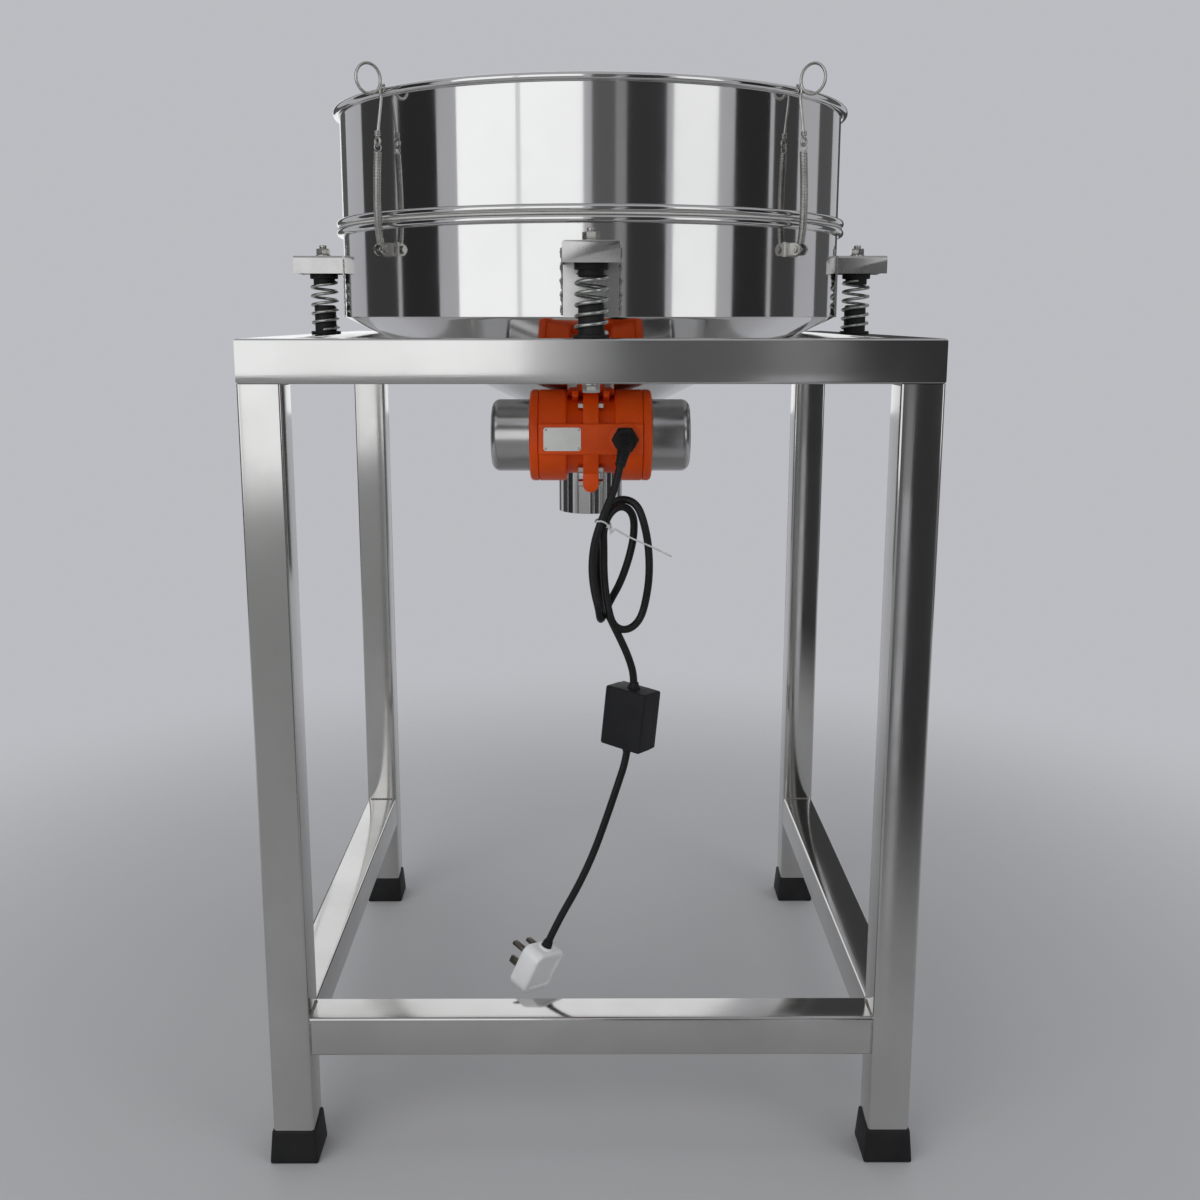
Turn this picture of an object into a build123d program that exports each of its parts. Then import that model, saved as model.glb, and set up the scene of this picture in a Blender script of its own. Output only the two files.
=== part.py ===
from build123d import *

import os
from math import cos, pi, radians, sin, tan

# Round vibrating sieve on a square-tube stand, in millimetres.
# The origin is on the floor under the middle of the stand, +Z is up, the front faces -Y.

# Sieve drum: two stainless barrels with rolled beads, a hopper cone and an outlet spout
drum_radius = 255.0
drum_sheet = 1.5
bead_diameter = 7.0
upper_barrel_height = 114.0
lower_barrel_height = 86.8
cone_angle = 26.1
spout_radius = 34.0
spout_length = 98.0

# Screen between the barrels: a ring with wire cloth, edged by a U-shaped rubber gasket
gasket_thickness = 2.0
gasket_lip = 0.5
gasket_web = 1.5
gasket_inset = 1.5
screen_gap = 2.0
screen_skirt = 12.0
screen_ring_sheet = 1.6
cloth_thickness = 0.5

# Stand: square tube, mitred top rails, butted legs, three stretchers
stand_top = 770.0
tube_size = 38.0
tube_wall = 1.5
tube_corner = 2.5
stretcher_top = 147.0
stretcher_setback = 2.0

# Rubber feet: square cups on the leg ends
foot_height = 33.0
foot_base = 46.0
foot_rim = 41.0
foot_floor = 6.0
foot_corner = 3.0

# Isolators: a coil spring between a rubber seat on the rail and a rubber pad under a bracket
isolator_offset = 26.0
coil_diameter = 29.4
coil_wire = 3.2
coil_turns = 5.5
coil_length = 54.0
coil_gap = 0.3
seat_flange = 3.0
seat_flange_radius = 15.5
seat_core_height = 27.0
pad_radius = 14.6
pad_height = 20.0
pad_spigot = 6.0
isolator_bolt = 8.0
bolt_reach = 22.0
hole_clearance = 0.3
bore_clearance = 0.05
washer_radius = 8.0
washer_thickness = 1.6
nut_flats = 13.0
nut_height = 6.5
bolt_tip = 3.5

# Spring brackets: folded channels with a back plate welded to the lower barrel
bracket_width = 48.4
bracket_reach = 27.0
bracket_plate = 3.0
bracket_side = 2.5
bracket_depth = 18.0
bracket_corner = 5.0
bracket_drop = 62.5

# Latches: a wire hook with a finger ring, pulled down by an extension spring on an anchor pin
latch_angle = 44.0
anchor_drop = 25.8
anchor_reach = 9.5
pin_diameter = 4.0
pin_length = 19.0
pin_clearance = 0.06
ear_gap = 8.0
ear_thickness = 2.5
ear_radius = 5.5
anchor_base = 2.0
spring_diameter = 7.4
spring_wire = 1.2
spring_bow = 13.5
latch_wire = 2.8
hook_gap = 0.3
hook_wrap = 92.0
hook_start = -48.0
ring_radius = 13.0
ring_out = 17.0
ring_up = 9.1
eyelet_radius = 3.6
eyelet_drop = 44.0
leg_out = 9.0

# Vibration motor slung under the cone, its shaft along X
motor_reach = 126.0
housing_length = 100.0
housing_radius = 44.5
housing_end_bore = 40.0
housing_corner = 4.0
relief_gap = 1.0
groove_width = 15.5
groove_radius = 37.0
rib_width = 15.0
rib_radius = 46.0
rib_foot = 53.0
rib_foot_depth = 30.0
rib_bolt_circle = 41.3
rib_bolt_angle = 48.0
rib_bolt_head = 3.8
rib_bolt_height = 4.5
band_height = 29.5
gland_offset = 32.5
gland_boss_radius = 15.5
gland_boss_height = 2.0
shield_thickness = 9.0
shield_spigot = 5.0
shield_wall = 4.0
bearing_diameter = 32.0
bearing_width = 10.0
bearing_shoulder = 2.5
shaft_diameter = 12.0
shaft_core_diameter = 16.0
shaft_clearance = 0.05
fit_clearance = 0.1
stator_length = 48.0
stator_radius = 33.0
winding_length = 9.0
rotor_radius = 19.0
air_gap = 0.5
cover_radius = 35.0
cover_length = 37.5
cover_sheet = 1.0
cover_corner = 8.0
weight_radius = 28.0
weight_thickness = 17.0
weight_hub_radius = 13.0
weight_gap = 7.0
shaft_end_gap = 8.0

# Motor foot, bolted to a saddle plate that is welded along the cone
foot_plane = 40.5
saddle_plate = 5.0
foot_length = 120.0
foot_thickness = 9.0
side_gap = 0.5
mount_bolt = 6.0
mount_flats = 10.0
mount_head = 5.0
mount_spacing_x = 32.0
mount_margin = 8.0
saddle_gap = 0.3

# Cord, its gland and what hangs on it
cord_diameter = 7.2
gland_radius = 13.0
gland_length = 11.0
boot_root_radius = 7.5
boot_tip_radius = 4.6
boot_bend_radius = 26.0
boot_bend = 82.0
boot_lean = 15.0
hank_centre = (27.9, -212.5, 559.5)
hank_half_width = 31.0
hank_half_height = 65.5
hank_eye_half_width = 14.0
hank_eye_half_height = 48.0
hank_thickness = 31.0
hank_flat = 3.5
hank_entry_x = 22.4
hank_exit_x = 26.0
box_size = (45.0, 30.0, 58.0)
box_centre = (38.0, -209.0, 411.0)
box_turn = -36.0
box_lean = 5.5
box_corner = 2.5
plug_body = (22.0, 44.0, 44.0)
plug_corner = 9.0
plug_grip = 8.0
plug_grip_radius = 5.5
plug_turn = -38.0
plug_lean = 24.0
plug_pin = (18.0, 6.4, 4.0)
plug_pin_spread = 11.0
plug_earth_rise = 11.0
plug_top = (-41.7, -211.0, 180.7)
lower_route = ((25.5, -211.0, 342.0), (14.5, -212.0, 308.0), (2.0, -213.0, 272.0), (-13.0, -212.5, 238.0),
               (-32.0, -211.0, 202.5))
entry_run = 12.0

# Twist tie round the left limb of the hank
tie_height = 601.0
tie_wire = 1.6
tie_left = 1.7
tie_right = 23.2
tie_depth = 34.8
tie_tail = (74.3, -229.0, 571.0)

# Places worked out from the sizes above
stand_width = 2 * (drum_radius + isolator_offset + tube_size / 2)
half_width = stand_width / 2
leg_centre = half_width - tube_size / 2
isolator_radius = leg_centre
rail_bottom = stand_top - tube_size
seat_top = stand_top + seat_flange
coil_top = seat_top + coil_length
bracket_under = coil_top + pad_height
bracket_top = bracket_under + bracket_plate
knuckle_z = bracket_top - bracket_drop
lower_rim_z = knuckle_z + lower_barrel_height
upper_floor_z = lower_rim_z + gasket_thickness
rim_z = upper_floor_z + upper_barrel_height
inner_radius = drum_radius - drum_sheet
bead_radius = bead_diameter / 2
bead_centre = drum_radius - drum_sheet / 2 + bead_radius
bead_outer = bead_centre + bead_radius
cone_slope = tan(radians(cone_angle))
spout_top = knuckle_z - (drum_radius - spout_radius) * cone_slope
spout_bottom = spout_top - spout_length
coil_mean = (coil_diameter - coil_wire) / 2
coil_core = coil_mean - coil_wire / 2 - coil_gap
motor_y = -motor_reach
motor_z = (spout_top + (motor_reach - spout_radius) * cone_slope
           - (foot_plane + saddle_plate) / cos(radians(cone_angle)))
groove_end = rib_width / 2 + groove_width
mount_spacing_y = foot_length - 2 * mount_margin
housing_end = housing_length / 2
shield_face = housing_end
shield_end = shield_face + shield_thickness
cover_end = shield_end + cover_length
latch_azimuths = (latch_angle, 180 - latch_angle, 180 + latch_angle, -latch_angle)
latch_places = ("back_right", "back_left", "front_left", "front_right")
sides = {"right": 0, "back": 90, "left": 180, "front": 270}
corners = {"front_left": (-1, -1), "front_right": (1, -1), "back_left": (-1, 1), "back_right": (1, 1)}

parts = {}


def turned(points, axis=Axis.Z, plane=Plane.XZ):
    """Full revolve of a closed outline given in the plane's own two directions."""
    return revolve(plane * make_face(Polyline(*points, close=True)), axis=axis)


def rod(radius, bottom, top, at=(0, 0)):
    """Upright cylinder between two heights."""
    return Pos(at[0], at[1], bottom) * extrude(Circle(radius), amount=top - bottom)


def block(low, high):
    """Box between two corners."""
    size = [b - a for a, b in zip(low, high)]
    middle = [(a + b) / 2 for a, b in zip(low, high)]
    return Pos(*middle) * Box(*size)


def hexagon(flats, bottom, top, at=(0, 0)):
    """Upright hexagonal prism, sized across its flats."""
    outline = RegularPolygon(flats / 2, 6, major_radius=False)
    return Pos(at[0], at[1], bottom) * extrude(outline, amount=top - bottom)


def spun(points):
    """Full revolve about the motor's axis of an outline of distances along X and radii."""
    plane = Plane(origin=(0, motor_y, motor_z), x_dir=(1, 0, 0), z_dir=(0, -1, 0))
    face = plane * make_face(Polyline(*points, close=True))
    return revolve(face, axis=Axis((0, motor_y, motor_z), (1, 0, 0)))


def on_slope(shape):
    """Places a shape whose Z is square to the cone and whose Y runs down it, at the motor's axis."""
    return Location((0, motor_y, motor_z), (-cone_angle, 0, 0)) * shape


def group(solids):
    """Several separate solids as one node."""
    return Compound(children=list(solids))


def keep(name, shape):
    parts[name] = shape


def tube_section():
    return RectangleRounded(tube_size, tube_size, tube_corner) - RectangleRounded(
        tube_size - 2 * tube_wall, tube_size - 2 * tube_wall, tube_corner - tube_wall)


def make_stand():
    """Four legs, four mitred top rails and three stretchers of square tube."""
    for name, (x, y) in corners.items():
        leg = extrude(tube_section(), amount=rail_bottom - foot_floor)
        keep("leg_" + name, Pos(x * leg_centre, y * leg_centre, foot_floor) * leg)

    mitre_inner = half_width - tube_size
    mitre = Polyline((half_width, -half_width), (half_width, half_width),
                     (mitre_inner, mitre_inner), (mitre_inner, -mitre_inner), close=True)
    rail = Plane.XZ.offset(-half_width) * Pos(leg_centre, stand_top - tube_size / 2) * tube_section()
    rail = extrude(rail, amount=stand_width)
    rail = rail & Pos(0, 0, rail_bottom) * extrude(make_face(mitre), amount=tube_size)
    bolt_hole = isolator_bolt / 2 + hole_clearance
    rail = rail - rod(bolt_hole, rail_bottom, stand_top, (isolator_radius, 0))
    for name, angle in sides.items():
        keep("top_rail_" + name, Rot(0, 0, angle) * rail)

    middle = stretcher_top - tube_size / 2
    span = stand_width - 2 * tube_size
    bar = extrude(Plane.YZ * tube_section(), amount=span / 2, both=True)
    front = Pos(0, -leg_centre + stretcher_setback, middle) * bar
    keep("stretcher_front", front)
    for name, x in (("left", -leg_centre), ("right", leg_centre)):
        keep("stretcher_" + name, Pos(x, 0, middle) * Rot(0, 0, 90) * bar)


def make_feet():
    """A rubber cup under each leg, wider at its base."""
    cup = loft([RectangleRounded(foot_base, foot_base, foot_corner),
                Pos(0, 0, foot_height) * RectangleRounded(foot_rim, foot_rim, foot_corner)])
    socket = extrude(RectangleRounded(tube_size, tube_size, tube_corner), amount=foot_height)
    cup = cup - Pos(0, 0, foot_floor) * socket
    keep("rubber_feet", group(Pos(x * leg_centre, y * leg_centre, 0) * cup for x, y in corners.values()))


def around(solid):
    """The solid, built on the +X side, repeated on all four sides of the drum."""
    return group(Rot(0, 0, angle) * solid for angle in sides.values())


def make_isolators():
    """Rubber seats, coil springs, rubber pads and the bolts that hold them."""
    bolt = isolator_bolt / 2
    bore = bolt + bore_clearance
    seat = turned([(bore, stand_top), (seat_flange_radius, stand_top), (seat_flange_radius, seat_top),
                   (coil_core, seat_top), (coil_core, seat_top + seat_core_height - 2),
                   (coil_core - 2, seat_top + seat_core_height), (0, seat_top + seat_core_height),
                   (0, stand_top + bolt_reach + coil_gap), (bore, stand_top + bolt_reach + coil_gap)])
    keep("lower_spring_seats", around(Pos(isolator_radius, 0, 0) * seat))

    washer_low = rail_bottom - washer_thickness
    screw = rod(washer_radius, washer_low, rail_bottom)
    screw += hexagon(nut_flats, washer_low - nut_height, washer_low)
    screw += rod(bolt, washer_low, stand_top + bolt_reach)
    keep("seat_bolts", around(Pos(isolator_radius, 0, 0) * screw))

    wire = coil_wire / 2
    rise = coil_length - 2 * wire - 0.1
    line = Helix(pitch=rise / coil_turns, height=rise, radius=coil_mean)
    section = Plane(origin=line @ 0, z_dir=line % 0) * RegularPolygon(wire, 6)
    coil = sweep(section, path=line, is_frenet=True)
    for name, angle in sides.items():
        place = Pos(isolator_radius, 0, seat_top + wire + 0.05) * Rot(0, 0, 90) * coil
        keep("isolator_spring_" + name, Rot(0, 0, angle) * place)

    stud_foot = coil_top + washer_thickness
    pad = turned([(0, coil_top - pad_spigot), (coil_core, coil_top - pad_spigot), (coil_core, coil_top),
                  (pad_radius, coil_top), (pad_radius, bracket_under), (bore, bracket_under),
                  (bore, stud_foot - coil_gap), (0, stud_foot - coil_gap)])
    keep("upper_spring_pads", around(Pos(isolator_radius, 0, 0) * pad))

    washer_top = bracket_top + washer_thickness
    stud = rod(bolt, stud_foot, washer_top + nut_height + bolt_tip)
    stud += rod(washer_radius, bracket_top, washer_top)
    stud += hexagon(nut_flats, washer_top, washer_top + nut_height)
    keep("bracket_studs", around(Pos(isolator_radius, 0, 0) * stud))


def make_brackets():
    """Folded channel brackets with a back plate that follows the barrel."""
    end = isolator_radius + bracket_reach
    half = bracket_width / 2
    inside = drum_radius - 4
    channel = block((inside, -half, bracket_top - bracket_depth), (end, half, bracket_top))
    channel = fillet(channel.edges().filter_by(Axis.Z).group_by(Axis.X)[-1], bracket_corner)
    hollow = block((inside, -half + bracket_side, bracket_top - bracket_depth),
                   (end, half - bracket_side, bracket_under))
    channel -= hollow
    back = block((inside, -half, knuckle_z), (drum_radius + bracket_plate, half, bracket_top))
    bracket = channel + back - rod(drum_radius, knuckle_z, bracket_top)
    bracket -= rod(isolator_bolt / 2 + hole_clearance, bracket_under, bracket_top, (isolator_radius, 0))
    for name, angle in sides.items():
        keep("spring_bracket_" + name, Rot(0, 0, angle) * bracket)


def make_drum():
    """Upper barrel, lower barrel, hopper cone and outlet spout."""
    wall = Plane.XZ * Pos((inner_radius + drum_radius) / 2, (upper_floor_z + rim_z - bead_radius) / 2) * Rectangle(
        drum_sheet, rim_z - bead_radius - upper_floor_z)
    keep("upper_barrel", revolve(wall + rim_bead(rim_z, -1) + rim_bead(upper_floor_z, 1), axis=Axis.Z))
    wall = Plane.XZ * Pos((inner_radius + drum_radius) / 2, (knuckle_z + lower_rim_z) / 2) * Rectangle(
        drum_sheet, lower_barrel_height)
    keep("lower_barrel", revolve(wall + rim_bead(lower_rim_z, -1), axis=Axis.Z))

    foot = spout_top
    inside_rise = drum_sheet / cos(radians(cone_angle)) - drum_sheet * cone_slope
    keep("hopper_cone", turned([(drum_radius, knuckle_z), (spout_radius, foot),
                                (spout_radius - drum_sheet, foot),
                                (spout_radius - drum_sheet, foot + inside_rise),
                                (inner_radius, knuckle_z + inside_rise), (inner_radius, knuckle_z)]))
    keep("outlet_spout", turned([(spout_radius - drum_sheet, spout_bottom), (spout_radius, spout_bottom),
                                 (spout_radius, foot), (spout_radius - drum_sheet, foot)]))


def rim_bead(edge, side):
    """Round bead just inside a barrel's edge, on the side given."""
    return Plane.XZ * Pos(bead_centre, edge + side * bead_radius) * Circle(bead_radius)


def make_screen():
    """Screen ring with its wire cloth, and the gasket round its edge."""
    low = lower_rim_z
    outer = bead_outer - gasket_inset
    inner = inner_radius - screen_gap
    keep("screen_ring", turned([(inner - screen_ring_sheet, low - screen_skirt), (inner, low - screen_skirt),
                                (inner, low + gasket_lip), (outer - gasket_web, low + gasket_lip),
                                (outer - gasket_web, low + gasket_thickness - gasket_lip),
                                (inner - screen_ring_sheet, low + gasket_thickness - gasket_lip)]))
    cloth_low = low + gasket_thickness - gasket_lip
    keep("screen_cloth", rod(inner, cloth_low, cloth_low + cloth_thickness))
    keep("screen_gasket", turned([(inner_radius, low), (outer, low), (outer, low + gasket_thickness),
                                  (inner_radius, low + gasket_thickness),
                                  (inner_radius, low + gasket_thickness - gasket_lip),
                                  (outer - gasket_web, low + gasket_thickness - gasket_lip),
                                  (outer - gasket_web, low + gasket_lip), (inner_radius, low + gasket_lip)]))


def round_latches(solid):
    return [Rot(0, 0, angle) * solid for angle in latch_azimuths]


anchor_radius = drum_radius + anchor_reach
anchor_z = lower_rim_z - anchor_drop


def make_anchors():
    """Welded clevis lugs on the lower barrel and the pins through them."""
    outer = ear_gap / 2 + ear_thickness
    base = block((drum_radius - 2, -outer - 3, anchor_z - ear_radius - 1),
                 (drum_radius + anchor_base, outer + 3, anchor_z + ear_radius + 1))
    lug = base
    for side in (-1, 1):
        middle = side * (ear_gap + ear_thickness) / 2
        ear = Pos(anchor_radius, middle, anchor_z) * Rot(90, 0, 0) * Cylinder(ear_radius, ear_thickness)
        ear += block((drum_radius - 2, middle - ear_thickness / 2, anchor_z - ear_radius),
                     (anchor_radius, middle + ear_thickness / 2, anchor_z + ear_radius))
        lug += ear
    hole = Cylinder(pin_diameter / 2 + pin_clearance, 4 * outer)
    lug -= Pos(anchor_radius, 0, anchor_z) * Rot(90, 0, 0) * hole
    lug -= rod(drum_radius, anchor_z - 20, anchor_z + 20)
    keep("latch_anchors", group(round_latches(lug)))

    shank = extrude(Circle(pin_diameter / 2), amount=pin_length / 2, both=True)
    head = Pos(0, 0, outer) * extrude(Circle(pin_diameter * 0.85), amount=2.4)
    nut = Pos(0, 0, -outer - 3.2) * extrude(RegularPolygon(3.5, 6, major_radius=False), amount=3.2)
    pin = Pos(anchor_radius, 0, anchor_z) * Rot(90, 0, 0) * (shank + head + nut)
    keep("latch_pins", group(round_latches(pin)))


def wire_ring(radius, wire):
    """Ring whose axis lies along Y."""
    return Rot(90, 0, 0) * Torus(radius, wire)


def make_latches():
    """Wire hook with its finger ring, and the extension spring that pulls it down."""
    wire = latch_wire / 2
    rim = rim_z - bead_radius
    hook_radius = bead_radius + hook_gap + wire
    eyelet_z = rim - eyelet_drop
    eyelet_x = bead_centre + leg_out

    def round_bead(angle):
        return (bead_centre + hook_radius * cos(radians(angle)), 0, rim + hook_radius * sin(radians(angle)))

    arc = ThreePointArc(round_bead(hook_wrap), round_bead((hook_wrap + hook_start) / 2), round_bead(hook_start))
    hook = sweep(Plane(origin=arc @ 0, z_dir=arc % 0) * Circle(wire), path=arc)
    leg_top = round_bead(hook_start)
    leg = Line(leg_top, (eyelet_x, 0, eyelet_z + eyelet_radius))
    hook += sweep(Plane(origin=leg @ 0, z_dir=leg % 0) * Circle(wire), path=leg)
    hook += Pos(*leg_top) * Sphere(wire)
    hook += Pos(bead_centre + ring_out, 0, rim + ring_up) * wire_ring(ring_radius, wire)
    hook += Pos(eyelet_x, 0, eyelet_z) * Rot(0, 90, 0) * Torus(eyelet_radius, spring_wire)

    spring = spring_wire
    loop = pin_diameter / 2 + pin_clearance + spring / 2 + 0.4
    top_loop = eyelet_z - 2 * eyelet_radius + spring_wire * 2 - 0.1
    start = (anchor_radius + 1.5, 0, anchor_z + loop + 1)
    end = (eyelet_x, 0, top_loop - eyelet_radius - 0.2)
    crown = (bead_centre + bead_radius + spring_bow / 2, 0, lower_rim_z + 2)
    line = ThreePointArc(start, crown, end)
    outer = Plane(origin=line @ 0, z_dir=line % 0) * Circle(spring_diameter / 2)
    inner = Plane(origin=line @ 0, z_dir=line % 0) * Circle(spring_diameter / 2 - spring)
    coil = sweep(outer, path=line) - sweep(inner, path=line)
    for at in (0, 1):
        coil += Plane(origin=line @ at, z_dir=line % at) * Cylinder(spring_diameter / 2, 1.6)
    coil += Pos(anchor_radius, 0, anchor_z) * wire_ring(loop + 0.1, spring / 2)
    coil += Pos(eyelet_x, 0, top_loop) * wire_ring(eyelet_radius, spring / 2)
    for name, angle in zip(latch_places, latch_azimuths):
        keep("latch_hook_" + name, Rot(0, 0, angle) * hook)
        keep("latch_spring_" + name, Rot(0, 0, angle) * coil)


def make_housing():
    """Motor casting: two lobes, a middle rib, a flat front band, a boss and the mounting foot."""
    end = housing_length / 2
    seat = stator_length / 2
    rib = rib_width / 2
    half = [(seat, stator_radius), (seat, housing_end_bore), (end, housing_end_bore), (end, housing_radius),
            (groove_end, housing_radius), (groove_end, groove_radius), (rib, groove_radius), (rib, rib_radius)]
    mirrored = [(-x, r) for x, r in reversed(half)]
    housing = spun(half + mirrored)
    front = motor_y - rib_radius
    housing += block((-end, front, motor_z - band_height / 2),
                     (end, motor_y - stator_radius - 1, motor_z + band_height / 2))
    boss = Pos(gland_offset, front, motor_z) * Rot(90, 0, 0) * extrude(
        Circle(gland_boss_radius), amount=gland_boss_height)
    boss += Pos(gland_offset, front, motor_z) * Rot(90, 0, 0) * extrude(
        Circle(gland_boss_radius), amount=-(rib_radius - housing_radius + 6))
    housing += boss
    tongue = block((-rib, motor_y - rib_foot_depth, motor_z - rib_foot + rib),
                   (rib, motor_y, motor_z - stator_radius - 1))
    tongue += Pos(0, motor_y, motor_z - rib_foot + rib) * Rot(90, 0, 0) * extrude(
        Circle(rib), amount=rib_foot_depth)
    housing += tongue
    side = groove_end - side_gap
    foot = block((-side, -foot_length / 2, foot_plane - foot_thickness), (side, foot_length / 2, foot_plane))
    housing += on_slope(foot)
    housing -= on_slope(block((-groove_end, -foot_length, foot_plane),
                              (groove_end, foot_length, foot_plane + foot_length)))
    housing -= cone_room(relief_gap)
    housing -= spun([(-seat, 0), (-seat, stator_radius), (seat, stator_radius), (seat, 0)])
    for sign in (-1, 1):
        housing -= spun([(sign * seat, 0), (sign * seat, housing_end_bore),
                         (sign * end, housing_end_bore), (sign * end, 0)])
    for x, y in mount_holes():
        housing -= on_slope(rod(mount_bolt / 2 + hole_clearance, foot_plane - 2 * foot_thickness, foot_plane, (x, y)))
    for at in rib_bolts():
        hole = Cylinder(rib_bolt_head / 2 + bore_clearance, rib_width, rotation=(0, 90, 0))
        housing -= Pos(0, *at) * hole
    keep("motor_housing", housing)


def cone_room(gap):
    """The space of the cone and a gap under it, which what lies below the cone is cut back from."""
    drop = gap / cos(radians(cone_angle))
    return turned([(0, knuckle_z - drum_radius * cone_slope - drop), (drum_radius, knuckle_z - drop),
                   (drum_radius, knuckle_z + 1), (0, knuckle_z + 1)])


def mount_holes():
    return [(sx * mount_spacing_x / 2, sy * mount_spacing_y / 2) for sx in (-1, 1) for sy in (-1, 1)]


def rib_bolts():
    """Places of the bolts through the middle rib, as Y and Z."""
    places = []
    for angle in (rib_bolt_angle, -rib_bolt_angle, 180 + rib_bolt_angle):
        places.append((motor_y - rib_bolt_circle * cos(radians(angle)),
                       motor_z + rib_bolt_circle * sin(radians(angle))))
    places.append((motor_y - rib_foot_depth / 2, motor_z - rib_foot + rib_width / 2))
    return places


def make_motor():
    """End shields, covers, bearings, stator, bolts and the saddle plate on the cone."""
    shields = []
    bearings = []
    bearing = bearing_diameter / 2
    inner_face = shield_face - bearing_width
    register = housing_end_bore - fit_clearance
    spigot = cover_radius - cover_sheet - fit_clearance
    bore = shaft_diameter / 2 + bearing_shoulder
    for sign in (-1, 1):
        outline = [(inner_face, bearing), (inner_face, bearing + shield_wall), (shield_face, bearing + shield_wall),
                   (shield_face, register - shield_wall), (shield_face - shield_wall, register - shield_wall),
                   (shield_face - shield_wall, register), (shield_face, register),
                   (shield_face, housing_radius), (shield_end - housing_corner, housing_radius),
                   (shield_end, housing_radius - housing_corner), (shield_end, spigot),
                   (shield_end + shield_spigot, spigot), (shield_end + shield_spigot, spigot - shield_wall),
                   (shield_end, spigot - shield_wall), (shield_end, bore), (shield_face, bore),
                   (shield_face, bearing)]
        shields.append(spun([(sign * x, r) for x, r in outline]))
        ring = [(inner_face, shaft_diameter / 2 + shaft_clearance), (inner_face, bearing),
                (shield_face, bearing), (shield_face, shaft_diameter / 2 + shaft_clearance)]
        bearings.append(spun([(sign * x, r) for x, r in ring]))
    keep("end_shields", group(shields))
    keep("motor_bearings", group(bearings))

    cup = spun([(shield_end, 0), (shield_end, cover_radius), (cover_end, cover_radius), (cover_end, 0)])
    cup = fillet(cup.edges().filter_by(GeomType.CIRCLE).group_by(Axis.X)[-1], cover_corner)
    room = spun([(shield_end, 0), (shield_end, cover_radius - cover_sheet),
                 (cover_end - cover_sheet, cover_radius - cover_sheet), (cover_end - cover_sheet, 0)])
    room = fillet(room.edges().filter_by(GeomType.CIRCLE).group_by(Axis.X)[-1], cover_corner - cover_sheet)
    cup = cup - room
    keep("end_cover_right", cup)
    keep("end_cover_left", mirror(cup, Plane.YZ))

    seat = stator_length / 2
    core = spun([(-seat, rotor_radius + air_gap), (-seat, stator_radius), (seat, stator_radius),
                 (seat, rotor_radius + air_gap)])
    windings = [spun([(sign * seat, rotor_radius + 3), (sign * seat, stator_radius - 2),
                      (sign * (seat + winding_length), stator_radius - 4),
                      (sign * (seat + winding_length), rotor_radius + 5)]) for sign in (-1, 1)]
    keep("stator", group([core] + windings))

    bolts = []
    for y, z in rib_bolts():
        reach = rib_width / 2 + rib_bolt_height
        bolt = Cylinder(rib_bolt_head / 2, rib_width, rotation=(0, 90, 0))
        for sign in (-1, 1):
            head = extrude(RegularPolygon(rib_bolt_head, 6), amount=rib_bolt_height)
            bolt += Pos(sign * rib_width / 2, 0, 0) * Rot(0, sign * 90, 0) * head
        bolts.append(Pos(0, y, z) * bolt)
    under = foot_plane - foot_thickness
    for x, y in mount_holes():
        bolt = hexagon(mount_flats, under - mount_head, under, (x, y))
        bolt += rod(mount_bolt / 2, under, foot_plane + saddle_plate - 1, (x, y))
        bolts.append(on_slope(bolt))
    keep("motor_bolts", group(bolts))

    side = groove_end - side_gap
    plate = on_slope(block((-side, -foot_length / 2, foot_plane),
                           (side, foot_length / 2, foot_plane + 4 * saddle_plate)))
    plate -= cone_room(saddle_gap)
    for x, y in mount_holes():
        plate -= on_slope(rod(mount_bolt / 2 + bore_clearance, foot_plane, foot_plane + saddle_plate - 0.5, (x, y)))
    keep("motor_saddle", plate)


def make_rotor():
    """Shaft, rotor core and the two eccentric weights, which hang down at rest."""
    step = shield_face - bearing_width - fit_clearance
    shaft_end = cover_end - cover_sheet - shaft_end_gap
    thin = shaft_diameter / 2
    thick = shaft_core_diameter / 2
    keep("rotor_shaft", spun([(-shaft_end, 0), (-shaft_end, thin), (-step, thin), (-step, thick),
                              (step, thick), (step, thin), (shaft_end, thin), (shaft_end, 0)]))
    core = stator_length / 2
    keep("rotor_core", spun([(-core, thick), (-core, rotor_radius), (core, rotor_radius), (core, thick)]))
    weights = []
    for sign in (-1, 1):
        near = shield_end + weight_gap
        far = near + weight_thickness
        disc = spun([(sign * near, thin), (sign * near, weight_radius), (sign * far, weight_radius),
                     (sign * far, thin)])
        reach = weight_radius + 1
        disc -= block((sign * (near + far) / 2 - reach, motor_y - reach, motor_z),
                      (sign * (near + far) / 2 + reach, motor_y + reach, motor_z + reach))
        hub = spun([(sign * near, thin), (sign * near, weight_hub_radius), (sign * far, weight_hub_radius),
                    (sign * far, thin)])
        weights.append(disc + hub)
    keep("eccentric_weights", group(weights))


def boot_path():
    """Bend of the strain relief, out of the gland towards the front and then down."""
    face = motor_y - rib_radius - gland_boss_height - gland_length
    down = (-sin(radians(boot_lean)), -cos(radians(boot_lean)))

    def point(angle):
        drop = boot_bend_radius * (1 - cos(radians(angle)))
        return (gland_offset + down[0] * drop, face - boot_bend_radius * sin(radians(angle)),
                motor_z + down[1] * drop)

    return ThreePointArc(point(0), point(boot_bend / 2), point(boot_bend))


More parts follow.
